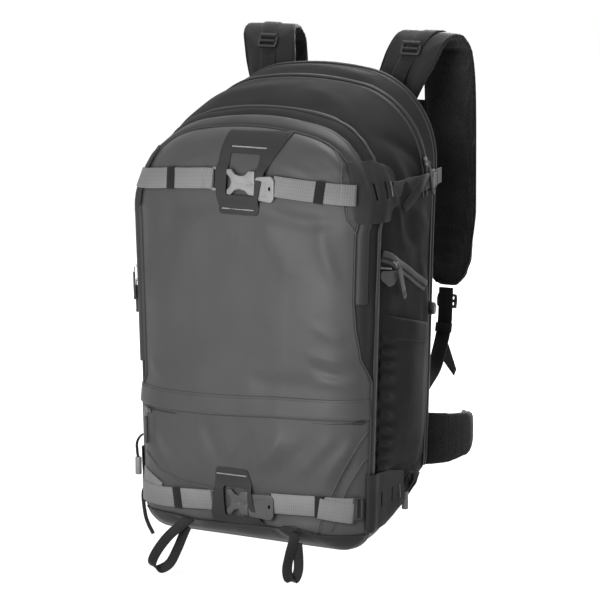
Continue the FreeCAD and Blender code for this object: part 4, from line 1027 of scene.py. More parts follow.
# ---------------------------------------------------------------- stitches
def stitch_line(name: str, track: Track, pitch: float, width: float = 0.6,
                fill: float = 0.68) -> bpy.types.Object:
    """A row of thread stitches along a track, each a tiny rounded bar.

    Args:
        name: the piece's name.
        track: where the row runs.
        pitch: from one stitch to the next.
        width: thread width.
        fill: share of the pitch that shows.
    """
    even = track.sampled(pitch / 2)
    points, faces = [], []
    for index in range(0, len(even.points) - 1, 2):
        start = even.points[index]
        run = unit(even.points[min(index + 1, len(even.points) - 1)] - start)
        side, out = even.sides[index], even.outs[index]
        first = len(points)
        for along, swell in ((0.0, 0.35), (0.25, 1.0), (0.75, 1.0), (1.0, 0.35)):
            centre = start + run * (pitch * fill * along)
            for across, up in ((-1, 0), (0, 1), (1, 0), (0, -0.6)):
                points.append(centre + side * (across * width / 2 * swell) + out
                              * (up * width * 0.45 * swell))
        for ring in range(3):
            for corner in range(4):
                after = (corner + 1) % 4
                base = first + ring * 4
                faces.append((base + corner, base + after, base + 4 + after, base + 4 + corner))
        faces += [(first + 3, first + 2, first + 1, first), (first + 12, first + 13, first + 14, first + 15)]
    return tidy(make_mesh(name, np.array(points), faces))


def bar_tack(name: str, start: Array, end: Array, out: Array, width: float = 2.0) -> bpy.types.Object:
    """A bar-tack: threads laid close together across a short line.

    Args:
        name: the piece's name.
        start: one end of the tack.
        end: its other end.
        out: outward direction of the cloth under it.
        width: how wide the tack is.
    """
    start, end = np.asarray(start, float), np.asarray(end, float)
    length = float(np.linalg.norm(end - start))
    count = max(4, int(length / 0.75))
    run = unit(end - start)
    across = unit(np.cross(out, run))
    points, faces = [], []
    for index in range(count):
        middle = start + run * (length * (index + 0.5) / count)
        slant = run * 0.35
        first = len(points)
        for end_of, low in ((-1, 0.25), (0, 0.75), (1, 0.25)):
            centre = middle + across * (width / 2 * end_of) + slant * end_of + out * low
            for x, y in ((-0.36, 0), (0, 0.3), (0.36, 0), (0, -0.3)):
                points.append(centre + run * x + out * y)
        for ring in range(2):
            for corner in range(4):
                after = (corner + 1) % 4
                base = first + ring * 4
                faces.append((base + corner, base + after, base + 4 + after, base + 4 + corner))
        faces += [(first + 3, first + 2, first + 1, first), (first + 8, first + 9, first + 10, first + 11)]
    return tidy(make_mesh(name, np.array(points), faces))


# ---------------------------------------------------------------- panels cut from an outline
def outline_sheet(name: str, outline: Outline, holes: Sequence[Outline], cell: float,
                  place: Callable[[float, float], Array], thick: float) -> bpy.types.Object:
    """A flat cut of cloth, gridded, laid in place and given its thickness.

    Args:
        name: the piece's name.
        outline: the cut's corners in its own plane.
        holes: windows and slots in it.
        cell: grid size.
        place: takes a point of the plane to its bench point.
        thick: thickness, added outwards.
    """
    mesh = bmesh.new()
    loops = []
    for ring in (outline, *holes):
        corners = [mesh.verts.new((u, v, 0)) for u, v in ring]
        loops += [mesh.edges.new((a, b)) for a, b in zip(corners, corners[1:] + corners[:1])]
    bmesh.ops.triangle_fill(mesh, use_beauty=True, use_dissolve=False, edges=loops)
    flat = np.array(outline)
    for axis in (0, 1):
        for cut in np.arange(flat[:, axis].min() + cell, flat[:, axis].max(), cell):
            origin, normal = [0.0, 0.0, 0.0], [0.0, 0.0, 0.0]
            origin[axis], normal[axis] = float(cut), 1.0
            geometry = mesh.verts[:] + mesh.edges[:] + mesh.faces[:]
            bmesh.ops.bisect_plane(mesh, geom=geometry, dist=1e-4, plane_co=origin, plane_no=normal)
    mesh.verts.index_update()
    plane = [(v.co.x, v.co.y) for v in mesh.verts]
    faces = [[v.index for v in face.verts] for face in mesh.faces]
    points = np.array([place(u, v) for u, v in plane])
    uvs = [plane[index] for face in faces for index in face]
    mesh.free()
    obj = make_mesh(name, points, faces, np.array(uvs) * MM)
    bpy.context.view_layer.update()
    normal_sum = sum((np.array(face.normal) for face in obj.data.polygons), np.zeros(3))
    middle = points.mean(axis=0)
    away = middle - np.array([0.0, 20.0, 240.0])
    if normal_sum @ away < 0:
        obj.data.flip_normals()
    thicken(obj, thick, inward=False)
    return tidy(obj)


def rounded(corners: Outline, radius: float, steps: int = 3) -> list[tuple[float, float]]:
    """An outline with its corners rounded."""
    ring = [np.array(corner, float) for corner in corners]
    points = []
    for before, corner, after in zip(ring[-1:] + ring[:-1], ring, ring[1:] + ring[:1]):
        back, ahead = unit(before - corner), unit(after - corner)
        cut = min(radius, 0.45 * float(np.linalg.norm(before - corner)),
                  0.45 * float(np.linalg.norm(after - corner)))
        for share in np.linspace(0, 1, steps + 1):
            near = corner + back * cut * (1 - share) ** 2 + ahead * cut * share ** 2
            points.append((float(near[0]), float(near[1])))
    return points


def rectangle(low_u: float, high_u: float, low_v: float, high_v: float,
              radius: float = 1.5) -> list[tuple[float, float]]:
    """A rounded rectangle as an outline."""
    return rounded([(low_u, low_v), (high_u, low_v), (high_u, high_v), (low_u, high_v)], radius)


# ---------------------------------------------------------------- moulded pieces
class Mould:
    """Hard pieces: slabs, bars and pegs, punched, rounded and set in place."""

    @staticmethod
    def slab(name: str, outline: Outline, thick: float) -> bpy.types.Object:
        """A flat slab of an outline, from z = 0 up to its thickness, in local millimetres."""
        bpy.ops.mesh.primitive_circle_add(vertices=len(outline), radius=1, fill_type="NGON")
        obj = bpy.context.object
        obj.name = name
        for vertex, (x, y) in zip(obj.data.vertices, outline):
            vertex.co = (x * MM, y * MM, 0)
        bpy.ops.object.mode_set(mode="EDIT")
        bpy.ops.mesh.select_all(action="SELECT")
        bpy.ops.mesh.extrude_region_move(TRANSFORM_OT_translate={"value": (0, 0, thick * MM)})
        bpy.ops.mesh.select_all(action="SELECT")
        bpy.ops.mesh.normals_make_consistent(inside=False)
        bpy.ops.object.mode_set(mode="OBJECT")
        return obj

    @staticmethod
    def box(name: str, size: Sequence[float], middle: Sequence[float]) -> bpy.types.Object:
        """A box of a size about a middle, in local millimetres."""
        bpy.ops.mesh.primitive_cube_add(size=1)
        obj = bpy.context.object
        obj.name = name
        obj.data.transform(Matrix.Translation(Vector(middle) * MM)
                           @ Matrix.Diagonal((*(v * MM for v in size), 1)))
        return obj

    @staticmethod
    def rod(name: str, radius: float, length: float, middle: Sequence[float], axis: str = "Z",
            sides: int = 20) -> bpy.types.Object:
        """A round rod about a middle, along a local axis."""
        bpy.ops.mesh.primitive_cylinder_add(vertices=sides, radius=radius * MM, depth=length * MM)
        obj = bpy.context.object
        obj.name = name
        turn = {"X": Matrix.Rotation(math.pi / 2, 4, "Y"), "Y": Matrix.Rotation(math.pi / 2, 4, "X"),
                "Z": Matrix.Identity(4)}[axis]
        obj.data.transform(Matrix.Translation(Vector(middle) * MM) @ turn)
        return obj

    @staticmethod
    def punch(obj: bpy.types.Object, cutters: Sequence[bpy.types.Object]) -> bpy.types.Object:
        """Cut shapes out of a piece, and remove the cutters."""
        for cutter in cutters:
            cut = obj.modifiers.new("Cut", "BOOLEAN")
            cut.operation = "DIFFERENCE"
            cut.solver = "EXACT"
            cut.object = cutter
            apply_modifiers(obj)
            bpy.data.objects.remove(cutter)
        return obj

    @staticmethod
    def round_over(obj: bpy.types.Object, width: float, segments: int = 2,
                   angle: float = 40) -> bpy.types.Object:
        """Round a hard piece's edges and shade it smooth."""
        bevel_edges(obj, width, segments, angle)
        return soften(obj, 40)

    @staticmethod
    def settle(obj: bpy.types.Object, origin: Sequence[float], along: Sequence[float],
               out: Sequence[float]) -> bpy.types.Object:
        """Set a local piece on the bench: local X along, local Z out."""
        along, out = unit(np.array(along, float)), unit(np.array(out, float))
        side = unit(np.cross(out, along))
        along = np.cross(side, out)
        place = Matrix.Identity(4)
        for column, axis in enumerate((along, side, out)):
            for row in range(3):
                place[row][column] = float(axis[row])
        place.translation = Vector(to_frame(np.array(origin, float)).tolist())
        obj.data.transform(place)
        return obj


def rounded_slab(name: str, outline: Outline, thick: float, edge: float,
                 holes: Sequence[bpy.types.Object] = ()) -> bpy.types.Object:
    """A moulded plate with soft edges and holes, in local millimetres."""
    obj = Mould.slab(name, outline, thick)
    Mould.punch(obj, holes)
    return Mould.round_over(obj, edge)


def cutter(low_x: float, high_x: float, low_y: float, high_y: float,
           radius: float = 1.0) -> bpy.types.Object:
    """A rounded rectangular punch, long enough for any plate."""
    obj = Mould.slab("cutter", rectangle(low_x, high_x, low_y, high_y, radius), 60)
    obj.data.transform(Matrix.Translation((0, 0, -0.03)))
    return obj


# ---------------------------------------------------------------- body shell
@dataclass
class BodyShell:
    """The sewn body: back part, gusset, front panel and lower pocket, with its divider and boot."""

    wall: float = 1.6
    pocket_line: float = 160.0
    pocket_climb: float = 0.035
    boot_front: float = 20.0
    boot_thick: float = 1.3

    def cut_seams(self, mesh: bmesh.types.BMesh) -> None:
        """Cut the skin's faces along the seam lines, so that the pieces meet in clean edges."""

        def slice_at(point: tuple[float, float], run: tuple[float, float], chosen: Callable[[Vector], bool],
                     climb: float = 0.0) -> None:
            """Cut the chosen faces by the plane through a (y, z) point along a (y, z) run, climbing with x."""
            faces = [face for face in mesh.faces
                     if chosen(Vector(to_bench(np.array(face.calc_center_median()))))]
            geometry = list({edge for face in faces for edge in face.edges}
                            | {corner for face in faces for corner in face.verts})
            place = Vector(to_frame(np.array([0, point[0], point[1]])).tolist())
            bmesh.ops.bisect_plane(mesh, geom=geometry + faces, dist=1e-7, plane_co=place,
                                   plane_no=(climb, run[1], -run[0]))

        for line in (REAR_PIPING, FRONT_SEAM):
            for left in (False, True):
                knots = line.knots(left)
                for (z0, y0), (z1, y1) in zip(knots, knots[1:]):
                    def beside(spot: Vector, low: float = z0, high: float = z1, left: bool = left) -> bool:
                        """Whether a face lies at the line's height, on its own side."""
                        return low - 5 < spot.z < high + 5 and (spot.x < 3 if left else spot.x > -3)

                    slice_at((y0, z0), (y1 - y0, z1 - z0), beside)
        slice_at((0, self.pocket_line), (1, 0), lambda c: c.y < -60, self.pocket_climb)

    def part_of(self, centre: Array) -> str:
        """Which piece of the body a face belongs to."""
        if centre[1] > REAR_PIPING.depth(centre[2]):
            return "main_shell"
        if centre[1] > FRONT_SEAM.depth(centre[2], centre[0] < 0):
            return "front_gusset"
        line = self.pocket_line + self.pocket_climb * centre[0]
        return "front_panel" if centre[2] > line else "lower_pocket_panel"

    def build(self) -> Surface:
        """Build the four cloth pieces, and return the skin that the rest is laid on."""
        points, faces = SkinGrid().build()
        surface = Surface.of(points, faces)
        whole = make_mesh("skin", points, faces)
        mesh = bmesh.new()
        mesh.from_mesh(whole.data)
        self.cut_seams(mesh)
        mesh.verts.index_update()
        corners = to_bench(np.array([v.co[:] for v in mesh.verts]))
        parts: dict[str, list] = {}
        for face in mesh.faces:
            ring = [v.index for v in face.verts]
            parts.setdefault(self.part_of(corners[ring].mean(axis=0)), []).append(ring)
        mesh.free()
        bpy.data.objects.remove(whole)
        for name, rings in parts.items():
            used = sorted({index for ring in rings for index in ring})
            place = {index: order for order, index in enumerate(used)}
            obj = make_mesh(f"{name}_cloth", corners[used], [[place[i] for i in ring] for ring in rings])
            self.line_inside(obj)
            # main shell and gusset get the cloth painted darker as side shade, the front panels the plain
            # cloth
            piece(obj, "root", "body" if name in ("main_shell", "front_gusset") else "shell", name)
            obj.data.materials.append(PAINT.material("lining"))
        self.build_divider()
        self.build_boot()
        return surface

    def line_inside(self, obj: bpy.types.Object) -> None:
        """Give cloth its thickness, with the lining as its inner face."""
        solid = obj.modifiers.new("Lining", "SOLIDIFY")
        solid.thickness = self.wall * MM
        solid.offset = -1
        solid.material_offset = 1
        obj.data.materials.append(None)
        obj.data.materials.append(None)
        apply_modifiers(obj)

    def build_divider(self) -> None:
        """The cloth wall between the main compartment and the front pocket."""
        s = np.concatenate([np.linspace(-0.995, 0.995, 90)])
        ring = FORM.point(s, ring_place(s, REAR_PIPING.depth))
        middle = np.array([0.0, 0.0, 250.0])
        inner = [(float(x), float(z)) for x, _, z in (ring - middle) * 0.975 + middle]

        def place(x: float, z: float) -> Array:
            """Onto the divider's plane, a little slack."""
            slack = 3.0 * math.sin(x / 40) * math.sin(z / 55)
            return np.array([x, float(REAR_PIPING.depth(z)) + 5.5 + slack, z])

        piece(outline_sheet("divider_cloth", inner, (), 14, place, 1.2), "root", "lining", "divider")

    def boot_height(self, x: float, y: float) -> float:
        """Height of the boot's top edge, which rises to the rear and waves a little."""
        rear_climb = 50.0 / 173.0 * max(0.0, y + 65.0)
        wave = 1.6 * math.sin(x / 23.0) + 1.2 * math.sin(y / 19.0)
        hump = 7.0 * math.exp(-((x - 74) / 20) ** 2) if y < -60 else 0.0
        return self.boot_front + rear_climb + wave + hump

    def build_boot(self) -> None:
        """The film-covered boot round the base, with its own thickness and turned top edge."""
        s = np.concatenate([np.linspace(0.72, 1.0, 60), -np.linspace(1.0, 0.72, 60)[1:]])
        q = np.concatenate([np.linspace(0.10, 1.0, 34), np.linspace(1.0, 2.0, 26)[1:]])
        rows, columns = len(q), len(s)
        grid_q, grid_s = (values.ravel() for values in np.meshgrid(q, s, indexing="ij"))
        points, outs = FORM.point(grid_s, grid_q), FORM.normal(grid_s, grid_q)
        outs[grid_q >= 2] = (0, -1, 0)
        relief = SkinGrid().relief(grid_s, grid_q, points, outs)
        points = points + outs * (relief + 0.35)[:, None]
        top = np.array([self.boot_height(x, y) for x, y in points[:, :2]])
        keep = points[:, 2] <= top + 5
        points[:, 2] = np.where((points[:, 2] > top) & keep, top, points[:, 2])
        faces = [face for face in grid_faces(rows, columns, False) if keep[list(face)].all()]
        faces = [face for face in faces if np.ptp(points[list(face)], axis=0).max() > 0.4]
        obj = make_mesh("base_boot_film", points, faces)
        self.face_outwards(obj)
        thicken(obj, self.boot_thick, inward=False)
        piece(tidy(obj, 0.02), "root", "boot", "base_boot")

    @staticmethod
    def face_outwards(obj: bpy.types.Object) -> None:
        """Flip an open sheet whose faces look at the middle of the pack."""
        middle = to_frame(np.array([0.0, 10.0, 240.0]))
        total = sum(np.array(f.normal) @ (np.array(f.center) - middle) for f in obj.data.polygons)
        if total < 0:
            obj.data.flip_normals()


# ---------------------------------------------------------------- piping and zips
@dataclass
class PipingAndZips:
    """Piping rolls, zip welts, slits and coils; the near-black slits and seam cords also paint the shade down
    in those gaps.
    """

    surface: Surface
    roll_width: float = 5.6
    roll_height: float = 4.6
    teeth_pitch: float = 2.0

    def run(self, line: Line, z_left: float, z_right: float, step: float = 4.0, lift: float = 0.0) -> Track:
        """A track round the top from one height on the left to another on the right."""
        left, right = (s_at_height(z, line.depth) for z in (z_left, z_right))
        count = int(1500 * (left + right) / 2 / step)
        return ring_track(self.surface, line.depth, -left, right, count, lift)

    def teeth(self, name: str, track: Track, width: float = 2.2) -> bpy.types.Object:
        """A coil's turns: one small rounded bar across the slit at each pitch."""
        return stitch_line(name, Track(track.points, track.sides, track.outs), self.teeth_pitch, width, 0.6)

    def welt(self, name: str, track: Track, near: float, far: float, high: float) -> bpy.types.Object:
        """A turned tape edge beside a slit, from near to far to one side of the track."""
        mid, half = (near + far) / 2, (far - near) / 2
        section = [(mid - half, 0.0), (mid + half, 0.0), (mid + half, high * 0.55),
                   (mid + half * 0.75, high * 0.92), (mid, high), (mid - half * 0.75, high * 0.9),
                   (mid - half, high * 0.5)]
        return sweep(name, track, section)

    def build(self) -> None:
        """Build all piping and zips."""
        self.build_piping()
        self.build_front_zip()
        self.build_ring_zip("main_zip", MAIN_ZIP_DEPTH, 412.0, 6.4, 1.9)
        self.build_ring_zip("door_zip", DOOR_ZIP_DEPTH, 70.0, 5.2, 1.5)
        self.build_pocket_zip()
        self.build_side_zip()

    def build_piping(self) -> None:
        """The rear roll, fuller down the sides, and the slim front one, with two near-black cords that paint
        the shadow in the seam beside the front roll and at the back of the rear roll.
        """
        ends = 0.998
        rear = ring_track(self.surface, REAR_PIPING.depth, -ends, ends, 420, 0.4)
        fuller = 1.0 + 0.6 * (1 - smooth_step(rear.points[:, 2], 290, 340))
        rear_roll = sweep("rear_piping", rear, round_section(self.roll_width, self.roll_height, 0.5, 12),
                          True, fuller)
        front = ring_track(self.surface, FRONT_SEAM.depth, -ends, ends, 420, 0.3)
        front_roll = sweep("front_piping", front, round_section(2.6, 2.4, 0.3), True)
        piece(join("piping_rolls", [rear_roll, front_roll]), "root", "piping", "piping")
        # near-black cords painted into the seam beside the front roll and at the back of the rear roll, as the
        # shadow there
        shadow = sweep("panel_seam_painted_shadow", front.moved(-1.7, 0.05), round_section(0.9, 0.7), True)
        rear_roll_shadow = sweep("piping_painted_shadow", rear.moved(4.6, 0.0), round_section(1.8, 1.2), True, fuller)
        piece(join("painted_seam_shadows", [shadow, rear_roll_shadow]), "root", "coil")

    def build_front_zip(self) -> None:
        """The front zip under its flap, which ends lower on the left than on the right."""
        track = self.run(FRONT_ZIP, 204.0, 301.0)
        flap = self.flap_band(204.0, 301.0)
        rear = self.welt("front_zip_welt", track, -0.9, -5.6, 1.9)
        piece(join("front_zip_tape", [rear, flap]), "root", "tape", "front_zip")
        # the near-black tube is the coil and also paints the shade in the slit under the flap
        slit = sweep("front_zip_slit", track.moved(0, 0.2), round_section(2.6, 1.3))
        piece(slit, "root", "coil")

    def flap_band(self, z_left: float, z_right: float) -> bpy.types.Object:
        """The cloth band from the front zip's slit forward to the panel seam."""
        left, right = (s_at_height(z, FRONT_ZIP.depth) for z in (z_left, z_right))
        s = np.linspace(-left, right, 330)
        near, far = ring_place(s, FRONT_ZIP.depth), ring_place(s, FRONT_SEAM.depth)
        profile = ((0.04, 0.4), (0.05, 1.9), (0.12, 2.9), (0.3, 3.4), (0.55, 3.1), (0.8, 2.0), (0.95, 0.6))
        rows = []
        for share, lift in profile:
            q = near + (far - near) * share
            points, outs = FORM.point(s, q), FORM.normal(s, q)
            hits = np.array([self.surface.nearest(point)[0] for point in points])
            rows.append(hits + outs * lift)
        obj = make_mesh("front_zip_flap", np.vstack(rows), grid_faces(len(rows), len(s), False))
        BodyShell.face_outwards(obj)
        return tidy(thicken(obj, 0.8))

    def build_ring_zip(self, name: str, depth: float, z_low: float, width: float, high: float) -> None:
        """A zip over the top and down both sides, in an upright plane."""
        def depth_at(z: Array, left: Array) -> Array:
            """The same depth at every height."""
            return np.full_like(np.asarray(z, float), depth)

        end = s_at_height(z_low, depth_at)
        track = ring_track(self.surface, depth_at, -end, end, int(380 * end / 0.4), 0.0)
        front = self.welt(f"{name}_front_welt", track, -2.6, -width - 1.5, high * 0.6)
        rear = self.welt(f"{name}_rear_welt", track, -0.2, width, high * 1.5)
        piece(join(f"{name}_tape", [front, rear]), "root", "tape", name)
        # the near-black tube is the coil and also paints the shade in the slit under the flap
        slit = sweep(f"{name}_slit", track.moved(-1.5, 0.2), round_section(2.6, 1.3))
        piece(slit, "root", "coil")

    def build_pocket_zip(self) -> None:
        """The lower pocket's zip and the flap that overhangs it."""
        def climb(turn: float) -> float:
            """How far the line has risen towards the right."""
            return float(np.interp(turn, (-60, -40, -10, 20, 60), (1.0, 0.5, 3.0, 7.5, 10.5)))

        turns = np.linspace(-59, 59, 110)
        hits = [BARE.around(turn, 147.6 + climb(turn)) for turn in turns]
        track = track_through(np.array([h[0] for h in hits]), even_outs(np.array([h[1] for h in hits])))
        tape = self.welt("pocket_zip_tape", track.moved(0, 0.6), -2.6, 3.0, 0.7)
        # the near-black tube is the coil and also paints the shade in the slit under the pocket flap
        coil = sweep("pocket_zip_slit", track.moved(0, 1.2), round_section(2.2, 1.3))
        piece(tape, "root", "tape", "pocket_zip")
        piece(coil, "root", "coil")
        rows = []
        for height, lift in ((176.5, 0.2), (175.4, 1.0), (172, 1.5), (164, 2.2), (156, 2.9), (152.4, 3.1),
                             (151.4, 2.4)):
            row = [self.surface.around(turn, height + climb(turn)) for turn in np.linspace(-60, 60, 120)]
            rows.append(np.array([hit[0] for hit in row]) + even_outs(np.array([hit[1] for hit in row]))
                        * lift)
        flap = make_mesh("pocket_flap_cloth", np.vstack(rows), grid_faces(len(rows), 120, False))
        BodyShell.face_outwards(flap)
        piece(tidy(thicken(flap, 0.9)), "root", "shell", "pocket_flap")
        row = [self.surface.around(turn, 173.2 + climb(turn)) for turn in np.linspace(-58, 58, 90)]
        stitches = track_through(np.array([h[0] for h in row]), even_outs(np.array([h[1] for h in row])))
        piece(stitch_line("pocket_flap_stitches", stitches.moved(0, 1.5), 3.0, 0.55), "root", "thread")

    def build_side_zip(self) -> None:
        """The slanted zip on the right side, with a cloth garage over its upper end."""
        knots = [self.surface.side(1, y, z)[0] for y, z in ((-57, 355), (-38, 349), (-18, 340), (10, 328),
                                                            (40, 314), (70, 300))]
        track = laid_track(self.surface, np.array(knots), 0.0, 3.0)
        upper = self.welt("side_zip_upper", track, 0.6, 8.0, 2.8)
        lower = self.welt("side_zip_lower", track, -0.8, -6.0, 1.3)
        piece(join("side_zip_tape", [upper, lower]), "root", "tape", "side_zip")
        piece(self.teeth("side_zip_coil", track.moved(0, 1.2)), "root", "coil")
        ends = np.array([self.surface.side(1, y, z)[0] for y, z in ((-59, 342), (-37, 338))])
        bare = laid_track(self.surface, ends, 2.2, 2.0)
        piece(stitch_line("side_zip_bare_teeth", bare, 2.6, 2.6, 0.5), "root", "tack")


@dataclass
class CentrePatch:
    """One of the two centre patches: a laminate cut that bridges the strap and its buckle."""

    surface: Surface
    level: str
    outline: Outline
    window: tuple[float, float, float, float]
    strap_z: float
    strap_half: float
    tacks: tuple[tuple[float, float, float], ...]
    left_lift: float = 5.8
    right_lift: float = 7.6

    def place(self, x: float, z: float) -> Array:
        """A point of the cut on the pack: flat on the cloth, and lifted over the strap."""
        hit, out = BARE.front(x, z)
        away = abs(z - self.strap_z) - self.strap_half
        over = 1 - float(smooth_step(np.array(away), 0.0, 15.0))
        lift = self.left_lift + (self.right_lift - self.left_lift) * float(smooth_step(np.array(x), -8.0,
                                                                                       14.0))
        skin, _ = self.surface.front(x, z)
        relief = max(0.0, float((skin - hit) @ out))
        return hit + out * max(relief + 0.35, lift * over)

    def build(self) -> None:
        """Build the patch with its window and bar-tacks."""
        low_x, high_x, low_z, high_z = self.window
        window = rectangle(low_x, high_x, low_z, high_z, 3.0)
        cut = rounded(self.outline, 4.0)
        obj = outline_sheet(f"{self.level}_patch", cut, (window[::-1],), 4.5, self.place, 1.1)
        piece(bevel_edges(obj, 0.3, 1, 50), "root", "patch", f"{self.level}_centre_patch")
        made = []
        for index, (start_x, end_x, z) in enumerate(self.tacks):
            start, end = self.place(start_x, z), self.place(end_x, z)
            _, out = BARE.front((start_x + end_x) / 2, z)
            made.append(bar_tack(f"tack_{index}", start + out * 1.15, end + out * 1.15, out, 1.6))
        piece(join(f"{self.level}_patch_tacks", made), "root", "tack")


@dataclass(frozen=True)
class CornerCut:
    """The cut of one level's corner patches: heights, and distances back from the front edge."""

    level: str
    z_mid: float
    front_turn: float
    long: float
    slots: tuple[float, float]
    tack: float


@dataclass
class SidePatches:
    """The four laminate patches on the corners, with slots and bar-tacks."""

    surface: Surface
    degrees: float = 0.33

    def one(self, cut: CornerCut, name: str, sign: float) -> list[bpy.types.Object]:
        """A patch and its tack on one side, drawn as (distance back from its front edge, height)."""
        half, long, z_mid = 35.0, cut.long, cut.z_mid
        outline = rounded([(0, z_mid - half + 3), (5, z_mid - half), (long - 20, z_mid - half),
                           (long - 15, z_mid - half + 13), (long, z_mid - half + 16),
                           (long, z_mid + half - 16), (long - 5, z_mid + half - 11),
                           (long * 0.5, z_mid + half - 3), (0, z_mid + half)], 2)
        slots = [rectangle(middle - 1.3, middle + 1.3, z_mid - 10, z_mid + 9, 1.0)[::-1]
                 for middle in cut.slots]

        def place(back: float, z: float) -> Array:
            """Onto the corner, over the piping."""
            turn = cut.front_turn + back * self.degrees
            hit, out = BARE.around(sign * turn, z)
            skin, _ = self.surface.around(sign * turn, z)
            ridge = 3.4 * math.exp(-((hit[1] - float(REAR_PIPING.depth(z))) / 9) ** 2)
            return hit + out * (max(float((skin - hit) @ out), 0) * 0.6 + 2.2 + ridge)

        patch = outline_sheet(name, outline if sign > 0 else outline[::-1], slots if sign > 0 else
                              [slot[::-1] for slot in slots], 3.5, place, 1.2)
        start, end = place(cut.tack, z_mid - 8), place(cut.tack, z_mid + 8)
        _, out = BARE.around(sign * (cut.front_turn + cut.tack * self.degrees), z_mid)
        tack = bar_tack(f"{name}_tack", start + out * 1.3, end + out * 1.3, out, 1.5)
        return [bevel_edges(patch, 0.3, 1, 50), tack]

    def build(self) -> None:
        """Build all four."""
        patches, tacks = [], []
        for sign, side in ((1, "right"), (-1, "left")):
            for cut in (CornerCut("upper", 431.0, 53.6, 67.0, (27.5, 43.5), 53.5),
                        CornerCut("lower", 59.0, 58.7, 92.0, (28.5, 56.4), 78.0)):
                patch, tack = self.one(cut, f"{cut.level}_{side}_corner", sign)
                patches.append(patch)
                tacks.append(tack)
        piece(join("corner_patches", patches), "root", "patch", "side_patches")
        piece(join("corner_patch_tacks", tacks), "root", "tack")


# ---------------------------------------------------------------- front straps
def side_track(points: Array, side: Array) -> Track:
    """A track whose width keeps to one direction."""
    points = np.asarray(points, float)
    run = unit(np.gradient(points, axis=0))
    outs = unit(np.cross(run, np.broadcast_to(side, points.shape)))
    return Track(points, unit(np.cross(outs, run)), outs)


def level_track(z_at: Callable[[float], float], x0: float, x1: float, lift: float,
                step: float = 3.0) -> Track:
    """A track across the front at a height, between two x, over the plain form."""
    turns = np.linspace(-66, 66, 260)
    hits = []
    for turn in turns:
        point, _ = BARE.around(turn, 300.0)
        hits.append(BARE.around(turn, z_at(float(point[0]))))
    points = np.array([hit[0] for hit in hits])
    outs = even_outs(np.array([hit[1] for hit in hits]))
    inside = (points[:, 0] >= x0) & (points[:, 0] <= x1)
    chosen = track_through(points[inside] + outs[inside] * lift, outs[inside])
    return chosen.sampled(step)


